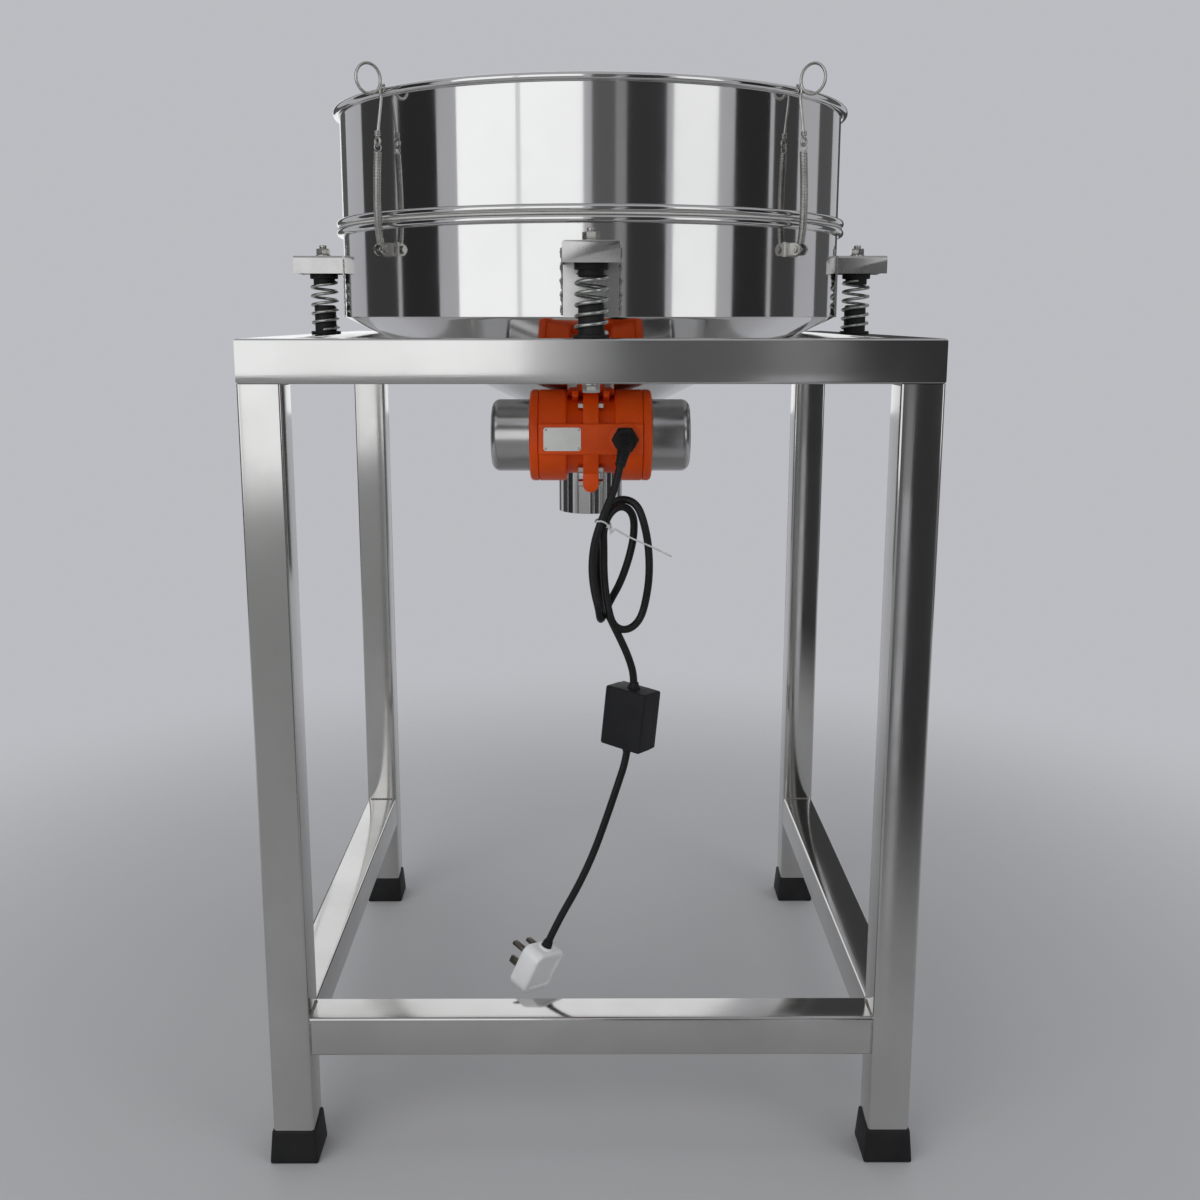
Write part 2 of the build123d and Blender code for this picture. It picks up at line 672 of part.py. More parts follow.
def cord_tube(name, points):
    """Tube of the cord along straight runs joined by arcs as large as the runs allow."""
    points = [Vector(*p) for p in points]
    radii = []
    for before, corner, after in zip(points, points[1:], points[2:]):
        turn = radians((corner - before).get_angle(after - corner))
        shorter = min((corner - before).length, (after - corner).length)
        radii.append(0.45 * shorter / tan(turn / 2))
    line = FilletPolyline(*points, radius=radii)
    section = Plane(origin=line @ 0, z_dir=line % 0) * Circle(cord_diameter / 2)
    tube = sweep(section, path=line)
    share = tube.volume / (pi * cord_diameter ** 2 / 4 * line.length)
    print(name, "length", round(line.length, 1), "volume share", round(share, 4),
          "radii", [round(r) for r in radii])
    keep(name, tube)


def box_place():
    return Pos(*box_centre) * Rot(0, box_lean, 0) * Rot(0, 0, box_turn)


def make_cord():
    """Gland, strain relief, cord, hank, in-line box and plug, hanging in front of the spout."""
    face = motor_y - rib_radius - gland_boss_height
    nut = extrude(RegularPolygon(gland_radius, 6), amount=gland_length / 2)
    dome = Pos(0, 0, gland_length / 2) * extrude(Circle(gland_radius - 1.5), amount=gland_length / 2)
    dome = fillet(dome.edges().group_by(Axis.Z)[-1], 3)
    bend = boot_path()
    root = Plane(origin=bend @ 0, z_dir=bend % 0) * Circle(boot_root_radius)
    tip = Plane(origin=bend @ 1, z_dir=bend % 1) * Circle(boot_tip_radius)
    boot = sweep([root, tip], path=bend, multisection=True)
    keep("cable_gland", Pos(gland_offset, face, motor_z) * Rot(90, 0, 0) * (nut + dome) + boot)

    x, y, z = hank_centre
    top = z + hank_half_height - hank_flat
    bottom = z - hank_half_height + hank_flat
    corner = bend @ 1 + bend % 1 * entry_run
    cord_tube("cord_upper", [bend @ 1, corner, (hank_entry_x, y, top + entry_run), (hank_entry_x, y, top)])
    ring = Ellipse(hank_half_width, hank_half_height) - Ellipse(hank_eye_half_width, hank_eye_half_height)
    hank = Pos(x, y, z) * Rot(90, 0, 0) * extrude(ring, amount=hank_thickness / 2, both=True)
    reach = hank_half_width + 1
    keep("cord_hank", hank & block((x - reach, y - hank_thickness, bottom), (x + reach, y + hank_thickness, top)))
    half = tie_wire / 2
    front = y - tie_depth / 2
    tie = block((tie_left, front, tie_height - half), (tie_right, y + tie_depth / 2, tie_height + half))
    tie -= block((tie_left + tie_wire, front + tie_wire, tie_height - tie_wire),
                 (tie_right - tie_wire, y + tie_depth / 2 - tie_wire, tie_height + tie_wire))
    knot = Vector(tie_right - half, front + half, tie_height)
    tail = Vector(*tie_tail) - knot
    tie += Plane(origin=knot, z_dir=tail) * extrude(Circle(half), amount=tail.length)
    keep("twist_tie", tie)

    leaning = Vector(sin(radians(box_lean)), 0, cos(radians(box_lean)))
    middle = Vector(*box_centre)
    half = box_size[2] / 2
    cord_tube("cord_middle", [(hank_exit_x, y, bottom), (hank_exit_x, y, bottom - entry_run),
                              middle + leaning * (half + entry_run), middle + leaning * half])
    case = Box(*box_size)
    case = fillet(case.edges().filter_by(Axis.Z), box_corner)
    keep("speed_box", box_place() * case)

    cord_tube("cord_lower", [middle - leaning * half, middle - leaning * (half + entry_run),
                             *lower_route, plug_top])
    thick, wide, tall = plug_body
    body = Pos(0, 0, -plug_grip - tall / 2) * Box(thick, wide, tall)
    body = fillet(body.edges().filter_by(Axis.X), plug_corner)
    body += Pos(0, 0, -plug_grip) * extrude(Circle(plug_grip_radius), amount=plug_grip)
    level = -plug_grip - tall / 2
    length, breadth, height = plug_pin
    for side in (-1, 1):
        body += Pos(-thick / 2 - length / 2, side * plug_pin_spread, level + plug_earth_rise) * Box(
            length, breadth, height)
    body += Pos(-thick / 2 - length / 2, 0, level - plug_earth_rise) * Box(length + 2, height, breadth + 1)
    keep("plug", Pos(*plug_top) * Rot(0, plug_lean, 0) * Rot(0, 0, plug_turn) * body)


def export_all():
    os.makedirs("parts", exist_ok=True)
    for name, shape in parts.items():
        export_step(shape, "parts/" + name + ".step")


make_stand()
make_feet()
make_isolators()
make_brackets()
make_drum()
make_screen()
make_anchors()
make_latches()
make_housing()
make_motor()
make_rotor()
make_cord()
export_all()
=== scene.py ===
"""Round vibrating sieve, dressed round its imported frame."""

import logging
from dataclasses import dataclass
from enum import Enum
from math import cos, pi, radians, sin, sqrt, tan
from typing import Optional, Sequence

import bmesh
import bpy
from mathutils import Matrix, Vector


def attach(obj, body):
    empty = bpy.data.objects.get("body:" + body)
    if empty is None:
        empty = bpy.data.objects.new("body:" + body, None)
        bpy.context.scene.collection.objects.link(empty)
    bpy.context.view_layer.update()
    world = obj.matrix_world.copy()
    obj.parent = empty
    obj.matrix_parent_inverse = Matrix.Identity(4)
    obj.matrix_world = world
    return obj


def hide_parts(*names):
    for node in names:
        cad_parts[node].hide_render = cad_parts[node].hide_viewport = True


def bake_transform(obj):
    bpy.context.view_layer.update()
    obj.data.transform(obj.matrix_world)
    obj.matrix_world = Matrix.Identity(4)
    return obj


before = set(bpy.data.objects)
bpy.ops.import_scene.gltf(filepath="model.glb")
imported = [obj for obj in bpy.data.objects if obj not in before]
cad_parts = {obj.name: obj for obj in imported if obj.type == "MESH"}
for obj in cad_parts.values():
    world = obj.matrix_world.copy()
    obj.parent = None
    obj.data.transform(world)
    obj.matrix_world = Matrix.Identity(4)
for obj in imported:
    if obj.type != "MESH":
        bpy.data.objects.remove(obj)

MM = 0.001
MERGE = 1e-6
BUMP_DEPTH = 0.0002
CONE_ANGLE = 26.1
SIDES = {"right": 0.0, "back": 90.0, "left": 180.0, "front": 270.0}
LATCH_PLACES = {"back_right": 44.0, "back_left": 136.0, "front_left": 224.0, "front_right": 316.0}
LOG = logging.getLogger("sieve")

Point = Sequence[float]


class Way(Enum):
    """Direction in which the grinding marks of a metal surface run."""

    ROUND = (1.0, 1.0, 30.0)
    ALONG_X = (1.0, 30.0, 30.0)
    ALONG_Y = (30.0, 1.0, 30.0)
    ALONG_Z = (30.0, 30.0, 1.0)
    ANY = (1.0, 1.0, 1.0)


class SurfaceGroups:
    """Shader node groups that several finishes share."""

    def __init__(self) -> None:
        """Builds each group once."""
        self.smudges = self._smudges()
        self.hairlines = self._hairlines()
        self.speckle = self._speckle()

    @staticmethod
    def _sockets(name: str, inputs: Sequence[str], outputs: Sequence[str]) -> bpy.types.NodeTree:
        """Makes an empty group with float sockets.

        Args:
            name: Name of the group.
            inputs: Names of its inputs.
            outputs: Names of its outputs.

        Returns:
            The new node tree.
        """
        tree = bpy.data.node_groups.new(name, "ShaderNodeTree")
        for label in inputs:
            tree.interface.new_socket(name=label, in_out="INPUT", socket_type="NodeSocketFloat")
        for label in outputs:
            tree.interface.new_socket(name=label, in_out="OUTPUT", socket_type="NodeSocketFloat")
        return tree

    def _smudges(self) -> bpy.types.NodeTree:
        """Broad soft patches left by hands and polishing cloths.

        Returns:
            Group that puts out a mask from 0 to 1.
        """
        tree = self._sockets("Smudges", ("Scale",), ("Mask",))
        nodes, links = tree.nodes, tree.links
        given, result = nodes.new("NodeGroupInput"), nodes.new("NodeGroupOutput")
        place = nodes.new("ShaderNodeTexCoord")
        noise = nodes.new("ShaderNodeTexNoise")
        noise.inputs["Detail"].default_value = 4.0
        noise.inputs["Roughness"].default_value = 0.6
        spread = nodes.new("ShaderNodeMapRange")
        spread.inputs["From Min"].default_value = 0.32
        spread.inputs["From Max"].default_value = 0.72
        links.new(place.outputs["Object"], noise.inputs["Vector"])
        links.new(given.outputs["Scale"], noise.inputs["Scale"])
        links.new(noise.outputs["Fac"], spread.inputs["Value"])
        links.new(spread.outputs["Result"], result.inputs["Mask"])
        return tree

    def _hairlines(self) -> bpy.types.NodeTree:
        """Fine parallel grinding marks, stretched by three factors.

        Returns:
            Group that puts out a height from 0 to 1.
        """
        tree = self._sockets("Hairlines", ("Scale", "Stretch X", "Stretch Y", "Stretch Z"), ("Height",))
        nodes, links = tree.nodes, tree.links
        given, result = nodes.new("NodeGroupInput"), nodes.new("NodeGroupOutput")
        place = nodes.new("ShaderNodeTexCoord")
        factors = nodes.new("ShaderNodeCombineXYZ")
        stretched = nodes.new("ShaderNodeVectorMath")
        stretched.operation = "MULTIPLY"
        noise = nodes.new("ShaderNodeTexNoise")
        noise.inputs["Detail"].default_value = 3.0
        for axis in "XYZ":
            links.new(given.outputs["Stretch " + axis], factors.inputs[axis])
        links.new(place.outputs["Object"], stretched.inputs[0])
        links.new(factors.outputs["Vector"], stretched.inputs[1])
        links.new(stretched.outputs["Vector"], noise.inputs["Vector"])
        links.new(given.outputs["Scale"], noise.inputs["Scale"])
        links.new(noise.outputs["Fac"], result.inputs["Height"])
        return tree

    def _speckle(self) -> bpy.types.NodeTree:
        """Small dust specks and pits.

        Returns:
            Group that puts out a mask of specks.
        """
        tree = self._sockets("Speckle", ("Scale", "Amount"), ("Mask",))
        nodes, links = tree.nodes, tree.links
        given, result = nodes.new("NodeGroupInput"), nodes.new("NodeGroupOutput")
        place = nodes.new("ShaderNodeTexCoord")
        cells = nodes.new("ShaderNodeTexVoronoi")
        limit = nodes.new("ShaderNodeMath")
        limit.operation = "LESS_THAN"
        links.new(place.outputs["Object"], cells.inputs["Vector"])
        links.new(given.outputs["Scale"], cells.inputs["Scale"])
        links.new(cells.outputs["Distance"], limit.inputs[0])
        links.new(given.outputs["Amount"], limit.inputs[1])
        links.new(limit.outputs["Value"], result.inputs["Mask"])
        return tree


@dataclass(frozen=True)
class Finish:
    """A surface finish with smudges, grinding marks and specks of its own strength."""

    name: str
    slot: str
    colour: tuple[float, float, float]
    worn: tuple[float, float, float]
    metallic: float = 0.0
    roughness: float = 0.4
    smudged: float = 0.5
    smudge_scale: float = 9.0
    hairlines: float = 0.0
    hairline_scale: float = 60.0
    way: Way = Way.ANY
    speckle: float = 0.0
    speckle_scale: float = 400.0
    coat: float = 0.0
    specular: float = 0.5
    coat_roughness: float = 0.12
    speckle_amount: float = 0.32

    def material(self, groups: SurfaceGroups) -> bpy.types.Material:
        """Builds the finish's material.

        Args:
            groups: Shared shader node groups.

        Returns:
            The new material.
        """
        made = bpy.data.materials.new(self.name)
        made.use_nodes = True
        nodes, links = made.node_tree.nodes, made.node_tree.links
        shader = nodes["Principled BSDF"]
        shader.inputs["Metallic"].default_value = self.metallic
        shader.inputs["Coat Weight"].default_value = self.coat
        shader.inputs["Specular IOR Level"].default_value = self.specular
        shader.inputs["Coat Roughness"].default_value = self.coat_roughness
        smudges = self._placed(nodes, groups.smudges, {"Scale": self.smudge_scale})
        tint = nodes.new("ShaderNodeMix")
        tint.data_type = "RGBA"
        tint.inputs["A"].default_value = (*self.colour, 1.0)
        tint.inputs["B"].default_value = (*self.worn, 1.0)
        links.new(smudges.outputs["Mask"], tint.inputs["Factor"])
        links.new(tint.outputs["Result"], shader.inputs["Base Color"])
        gloss = nodes.new("ShaderNodeMapRange")
        gloss.inputs["To Min"].default_value = self.roughness
        gloss.inputs["To Max"].default_value = min(1.0, self.roughness * (1.0 + self.smudged))
        links.new(smudges.outputs["Mask"], gloss.inputs["Value"])
        links.new(gloss.outputs["Result"], shader.inputs["Roughness"])
        if self.hairlines:
            stretch = self.way.value
            marks = self._placed(nodes, groups.hairlines, {
                "Scale": self.hairline_scale, "Stretch X": stretch[0],
                "Stretch Y": stretch[1], "Stretch Z": stretch[2]})
            self._bumped(nodes, links, shader, marks.outputs["Height"], self.hairlines, BUMP_DEPTH)
        elif self.speckle:
            specks = self._placed(nodes, groups.speckle, {
                "Scale": self.speckle_scale, "Amount": self.speckle_amount})
            self._bumped(nodes, links, shader, specks.outputs["Mask"], self.speckle, BUMP_DEPTH)
        return made

    @staticmethod
    def _placed(nodes: bpy.types.Nodes, group: bpy.types.NodeTree,
                values: dict[str, float]) -> bpy.types.Node:
        """Adds a shared group with its own values.

        Args:
            nodes: Nodes of the material.
            group: The shared group.
            values: Value of each input.

        Returns:
            The group's node.
        """
        node = nodes.new("ShaderNodeGroup")
        node.node_tree = group
        for label, value in values.items():
            node.inputs[label].default_value = value
        return node

    @staticmethod
    def _bumped(nodes: bpy.types.Nodes, links: bpy.types.NodeLinks, shader: bpy.types.Node,
                height: bpy.types.NodeSocket, strength: float, distance: float) -> None:
        """Feeds a height into the shader's normal.

        Args:
            nodes: Nodes of the material.
            links: Links of the material.
            shader: The surface shader.
            height: Socket that gives the height.
            strength: Strength of the bump.
            distance: Depth of the bump in metres.
        """
        bump = nodes.new("ShaderNodeBump")
        bump.inputs["Strength"].default_value = strength
        bump.inputs["Distance"].default_value = distance
        links.new(height, bump.inputs["Height"])
        links.new(bump.outputs["Normal"], shader.inputs["Normal"])


@dataclass(frozen=True)
class WovenCloth(Finish):
    """Wire cloth whose openings are cut out by a mask."""

    pitch: float = 0.0021
    open_below: float = 0.05
    solid_above: float = 0.35
    weave_bump: float = 0.7

    def material(self, groups: SurfaceGroups) -> bpy.types.Material:
        """Builds the cloth's material.

        Args:
            groups: Shared shader node groups.

        Returns:
            The new material.
        """
        made = super().material(groups)
        nodes, links = made.node_tree.nodes, made.node_tree.links
        shader = nodes["Principled BSDF"]
        place = nodes.new("ShaderNodeTexCoord")
        parts = nodes.new("ShaderNodeSeparateXYZ")
        links.new(place.outputs["Object"], parts.inputs["Vector"])
        joined = nodes.new("ShaderNodeMath")
        joined.operation = "MAXIMUM"
        for number, axis in enumerate("XY"):
            scaled = nodes.new("ShaderNodeMath")
            scaled.operation = "MULTIPLY"
            scaled.inputs[1].default_value = 2 * pi / self.pitch
            links.new(parts.outputs[axis], scaled.inputs[0])
            wave = nodes.new("ShaderNodeMath")
            wave.operation = "COSINE"
            links.new(scaled.outputs["Value"], wave.inputs[0])
            links.new(wave.outputs["Value"], joined.inputs[number])
        wires = nodes.new("ShaderNodeMapRange")
        wires.inputs["From Min"].default_value = self.open_below
        wires.inputs["From Max"].default_value = self.solid_above
        links.new(joined.outputs["Value"], wires.inputs["Value"])
        links.new(wires.outputs["Result"], shader.inputs["Alpha"])
        self._bumped(nodes, links, shader, joined.outputs["Value"], self.weave_bump, self.pitch / 6)
        return made


class Finishes:
    """All the finishes of the machine, each with its material."""

    def __init__(self) -> None:
        """Builds every material."""
        groups = SurfaceGroups()
        grey, worn = (0.60, 0.595, 0.58), (0.50, 0.495, 0.48)
        self.items = {made.name: made for made in (
            Finish("mirror_sheet", "polished_steel", (0.66, 0.655, 0.645), (0.60, 0.595, 0.585),
                   metallic=1.0, roughness=0.045, smudged=1.6, smudge_scale=5.0, hairlines=0.02,
                   hairline_scale=5.0, way=Way.ROUND),
            Finish("mirror_inside", "polished_steel", (0.58, 0.575, 0.565), (0.52, 0.515, 0.505),
                   metallic=1.0, roughness=0.16, smudged=0.8, smudge_scale=7.0, hairlines=0.10,
                   hairline_scale=24.0, way=Way.ROUND),
            Finish("tube_x", "frame_steel", grey, worn,
                   metallic=1.0, roughness=0.08, smudged=1.2, smudge_scale=6.0, hairlines=0.05,
                   hairline_scale=22.0, way=Way.ALONG_X),
            Finish("tube_y", "frame_steel", grey, worn,
                   metallic=1.0, roughness=0.07, smudged=1.4, smudge_scale=6.0, hairlines=0.06,
                   hairline_scale=22.0, way=Way.ALONG_Y),
            Finish("tube_z", "frame_steel", grey, worn,
                   metallic=1.0, roughness=0.07, smudged=1.4, smudge_scale=6.0, hairlines=0.06,
                   hairline_scale=22.0, way=Way.ALONG_Z),
            Finish("weld_bead", "frame_steel", (0.42, 0.40, 0.37), (0.25, 0.22, 0.20),
                   metallic=1.0, roughness=0.34, smudged=0.6, smudge_scale=90.0, speckle=0.3,
                   speckle_scale=900.0),
            Finish("bracket_steel", "polished_steel", (0.52, 0.515, 0.505), (0.44, 0.435, 0.425),
                   metallic=1.0, roughness=0.2, smudged=0.8, smudge_scale=14.0, hairlines=0.12,
                   hairline_scale=60.0, way=Way.ALONG_Z),
            Finish("zinc", "zinc_steel", (0.60, 0.595, 0.57), (0.46, 0.45, 0.42),
                   metallic=1.0, roughness=0.24, smudged=0.7, smudge_scale=60.0, speckle=0.15,
                   speckle_scale=1200.0),
            Finish("spring_wire", "spring_steel", (0.55, 0.56, 0.54), (0.36, 0.37, 0.34),
                   metallic=1.0, roughness=0.26, smudged=0.7, smudge_scale=40.0, hairlines=0.2,
                   hairline_scale=200.0),
            Finish("black_rubber", "black_rubber", (0.006, 0.006, 0.0065), (0.016, 0.016, 0.0165),
                   metallic=0.0, roughness=0.5, smudged=0.4, smudge_scale=40.0, speckle=0.35,
                   speckle_scale=1400.0, specular=0.28),
            Finish("seal_rubber", "white_rubber", (0.60, 0.59, 0.56), (0.48, 0.47, 0.44),
                   metallic=0.0, roughness=0.55, smudged=0.3, smudge_scale=30.0, speckle=0.2,
                   speckle_scale=900.0),
            Finish("motor_paint", "motor_orange", (0.80, 0.088, 0.003), (0.68, 0.062, 0.002),
                   metallic=0.0, roughness=0.36, smudged=0.4, smudge_scale=26.0, speckle=0.24,
                   speckle_scale=520.0, coat=0.03, specular=0.2),
            Finish("cover_steel", "cover_steel", (0.47, 0.465, 0.46), (0.43, 0.425, 0.42),
                   metallic=1.0, roughness=0.22, smudged=0.15, smudge_scale=12.0, hairlines=0.03,
                   hairline_scale=22.0, way=Way.ALONG_X),
            Finish("bearing_steel", "bearing_steel", (0.62, 0.62, 0.61), (0.55, 0.55, 0.54),
                   metallic=1.0, roughness=0.14, smudged=0.6, smudge_scale=30.0, hairlines=0.1,
                   hairline_scale=120.0),
            Finish("lamination", "lamination", (0.20, 0.19, 0.18), (0.13, 0.12, 0.11),
                   metallic=1.0, roughness=0.45, smudged=0.4, smudge_scale=60.0, hairlines=0.5,
                   hairline_scale=300.0, way=Way.ALONG_X),
            Finish("cast_weight", "cast_weight", (0.16, 0.16, 0.165), (0.10, 0.10, 0.10),
                   metallic=0.8, roughness=0.55, smudged=0.4, smudge_scale=60.0, speckle=0.6,
                   speckle_scale=700.0),
            Finish("cord_jacket", "cord_black", (0.005, 0.005, 0.0055), (0.012, 0.012, 0.0125),
                   metallic=0.0, roughness=0.38, smudged=0.5, smudge_scale=30.0, speckle=0.12,
                   speckle_scale=1500.0, specular=0.3),
            Finish("box_plastic", "box_plastic", (0.006, 0.006, 0.007), (0.013, 0.013, 0.014),
                   metallic=0.0, roughness=0.46, smudged=0.4, smudge_scale=40.0, speckle=0.5,
                   speckle_scale=1600.0, specular=0.3),
            Finish("plug_plastic", "plug_plastic", (0.88, 0.875, 0.86), (0.80, 0.79, 0.77),
                   metallic=0.0, roughness=0.32, smudged=0.4, smudge_scale=40.0, speckle=0.08,
                   speckle_scale=1200.0),
            Finish("pin_brass", "zinc_steel", (0.20, 0.18, 0.15), (0.12, 0.11, 0.10),
                   metallic=1.0, roughness=0.3, smudged=0.5, smudge_scale=80.0, hairlines=0.1,
                   hairline_scale=120.0),
            Finish("label_card", "plug_plastic", (0.80, 0.80, 0.75), (0.74, 0.74, 0.68),
                   metallic=0.0, roughness=0.36, smudged=0.4, smudge_scale=60.0, speckle=0.06,
                   speckle_scale=1500.0),
            Finish("tie_skin", "tie_wire", (0.62, 0.62, 0.60), (0.50, 0.50, 0.48),
                   metallic=0.0, roughness=0.38, smudged=0.4, smudge_scale=80.0, speckle=0.1,
                   speckle_scale=1500.0),
            WovenCloth("wire_cloth", "wire_cloth", (0.60, 0.60, 0.58), (0.46, 0.46, 0.44),
                       metallic=1.0, roughness=0.3, smudged=0.6, smudge_scale=12.0),
        )}
        self.materials = {name: finish.material(groups) for name, finish in self.items.items()}

    def give(self, piece: bpy.types.Object, *names: str) -> None:
        """Puts finishes on a piece.

        Args:
            piece: The piece to dress.
            names: Names of the finishes, in the order of the piece's material slots.
        """
        piece.data.materials.clear()
        for name in names:
            piece.data.materials.append(self.materials[name])

    def dress_node(self, node: str, name: str) -> None:
        """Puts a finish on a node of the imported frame.

        Args:
            node: Name of the node.
            name: Name of the finish.
        """
        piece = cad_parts[node]
        for slot in piece.material_slots:
            slot.material = self.materials[name]
        if not piece.material_slots:
            piece.data.materials.append(self.materials[name])


FINISHES = Finishes()


def linked(name: str, data: bpy.types.ID) -> bpy.types.Object:
    """Puts a new object into the scene.

    Args:
        name: Name of the object.
        data: Its mesh, curve, lamp or camera.

    Returns:
        The object.
    """
    made = bpy.data.objects.new(name, data)
    bpy.context.scene.collection.objects.link(made)
    return made


def span(edge: bmesh.types.BMEdge, axis: int) -> float:
    """How far an edge reaches along an axis, in metres."""
    return abs(edge.verts[0].co[axis] - edge.verts[1].co[axis])


class Shop:
    """Ways of making a piece's mesh."""

    @staticmethod
    def data_of(name: str, mesh: bmesh.types.BMesh) -> bpy.types.Mesh:
        """Turns an edited mesh into mesh data.

        Args:
            name: Name of the data.
            mesh: The mesh, which is freed.

        Returns:
            The mesh data.
        """
        data = bpy.data.meshes.new(name)
        mesh.to_mesh(data)
        mesh.free()
        return data

    @staticmethod
    def cleaned(mesh: bmesh.types.BMesh) -> bmesh.types.BMesh:
        """Joins points that lie together and turns the faces outwards."""
        bmesh.ops.remove_doubles(mesh, verts=mesh.verts, dist=MERGE)
        bmesh.ops.recalc_face_normals(mesh, faces=mesh.faces)
        return mesh

    @staticmethod
    def capped(mesh: bmesh.types.BMesh) -> None:
        """Closes the open ends of a mesh."""
        bmesh.ops.holes_fill(mesh, edges=[e for e in mesh.edges if e.is_boundary], sides=0)

    @staticmethod
    def cut(mesh: bmesh.types.BMesh, point: Point, way: Point) -> None:
        """Cuts a mesh by a plane and drops what lies on the side that the plane faces.

        Args:
            mesh: The mesh.
            point: A point of the plane, in metres.
            way: The plane's normal.
        """
        bmesh.ops.bisect_plane(mesh, geom=list(mesh.verts) + list(mesh.edges) + list(mesh.faces),
                               plane_co=point, plane_no=way, clear_outer=True)

    @staticmethod
    def turned(mesh: bmesh.types.BMesh, geometry: Sequence, steps: int) -> bmesh.types.BMesh:
        """Turns points and edges once about the Z axis.

        Args:
            mesh: The mesh that has them.
            geometry: The points and edges.
            steps: Number of steps in the full turn.

        Returns:
            The same mesh with the turned surface.
        """
        bmesh.ops.spin(mesh, geom=geometry, cent=(0, 0, 0), axis=(0, 0, 1), dvec=(0, 0, 0),
                       angle=2 * pi, steps=steps, use_merge=True, use_duplicate=False)
        return Shop.cleaned(mesh)

    @staticmethod
    def section(mesh: bmesh.types.BMesh, radius: float, wire: float, sides: int, base: float = 0.0) -> list:
        """Upright circle beside the Z axis, the section of a ring or a coil.

        Args:
            mesh: Mesh that gets the circle.
            radius: Distance of its middle from the axis.
            wire: Radius of the circle.
            sides: Number of its sides.
            base: Height of its middle.

        Returns:
            The circle's points and edges.
        """
        tilt = Matrix.Translation((radius * MM, 0, base * MM)) @ Matrix.Rotation(pi / 2, 4, "X")
        loop = bmesh.ops.create_circle(mesh, segments=sides, radius=wire * MM, cap_ends=False, matrix=tilt)
        return loop["verts"] + list({e for v in loop["verts"] for e in v.link_edges})

    @staticmethod
    def spun(outline: Sequence[tuple[float, float]], steps: int = 64,
             closed: bool = True) -> bmesh.types.BMesh:
        """Turns an outline of radii and heights about the Z axis.

        Args:
            outline: Radius and height of each point, in millimetres.
            steps: Number of steps in the full turn.
            closed: Whether the last point joins the first.

        Returns:
            The turned mesh.
        """
        mesh = bmesh.new()
        points = [mesh.verts.new((radius * MM, 0.0, height * MM)) for radius, height in outline]
        edges = [mesh.edges.new(pair) for pair in zip(points, points[1:])]
        if closed:
            edges.append(mesh.edges.new((points[-1], points[0])))
        return Shop.turned(mesh, points + edges, steps)

    @staticmethod
    def bar(low: Point, high: Point, bevel: float = 0.0, segments: int = 3) -> bmesh.types.BMesh:
        """Block between two corners with all its edges rounded.

        Args:
            low: Lowest corner, in millimetres.
            high: Highest corner, in millimetres.
            bevel: Radius of the rounding.
            segments: Number of faces across each rounding.

        Returns:
            The block's mesh.
        """
        mesh = bmesh.new()
        bmesh.ops.create_cube(mesh, size=1.0)
        size = [(b - a) * MM for a, b in zip(low, high)]
        middle = [(a + b) / 2 * MM for a, b in zip(low, high)]
        bmesh.ops.scale(mesh, vec=size, verts=mesh.verts)
        bmesh.ops.translate(mesh, vec=middle, verts=mesh.verts)
        if bevel:
            Shop.bevelled(mesh, list(mesh.edges), bevel, segments)
        return mesh

    @staticmethod
    def bevelled(mesh: bmesh.types.BMesh, edges: Sequence[bmesh.types.BMEdge], size: float,
                 segments: int = 3) -> None:
        """Rounds some edges of a mesh.

        Args:
            mesh: The mesh.
            edges: Edges to round.
            size: Size of the rounding, in millimetres.
            segments: Number of faces across it.
        """
        bmesh.ops.bevel(mesh, geom=edges, offset=size * MM, segments=segments, profile=0.5, affect="EDGES",
                        material=-1, clamp_overlap=True)

    @staticmethod
    def sharp_edges(mesh: bmesh.types.BMesh, angle: float = 40.0) -> list[bmesh.types.BMEdge]:
        """Edges where the surface turns by more than an angle.

        Args:
            mesh: The mesh.
            angle: The angle in degrees.

        Returns:
            The edges.
        """
        return [e for e in mesh.edges if len(e.link_faces) == 2 and e.calc_face_angle(0.0) > radians(angle)]

    @staticmethod
    def joined(*meshes: bmesh.types.BMesh) -> bmesh.types.BMesh:
        """Puts several meshes into one and frees them.

        Args:
            meshes: The meshes.

        Returns:
            One mesh with all of them.
        """
        whole = bmesh.new()
        for mesh in meshes:
            data = Shop.data_of("part", mesh)
            whole.from_mesh(data)
            bpy.data.meshes.remove(data)
        return whole

    @staticmethod
    def placed(mesh: bmesh.types.BMesh, turn: Optional[Matrix] = None,
               shift: Point = (0, 0, 0)) -> bmesh.types.BMesh:
        """Turns and then moves a mesh.

        Args:
            mesh: The mesh.
            turn: Transform that comes first, mostly a rotation about the origin.
            shift: Way to move it, in millimetres.

        Returns:
            The same mesh.
        """
        if turn is not None:
            bmesh.ops.transform(mesh, matrix=turn, verts=mesh.verts)
        bmesh.ops.translate(mesh, vec=[value * MM for value in shift], verts=mesh.verts)
        return mesh

    @staticmethod
    def copies(mesh: bmesh.types.BMesh, matrices: Sequence[Matrix]) -> bmesh.types.BMesh:
        """Repeats a mesh under several transforms.

        Args:
            mesh: The mesh, which is freed.
            matrices: One transform for each copy.

        Returns:
            All the copies in one mesh.
        """
        repeated = [Shop.placed(mesh.copy(), matrix) for matrix in matrices]
        mesh.free()
        return Shop.joined(*repeated)

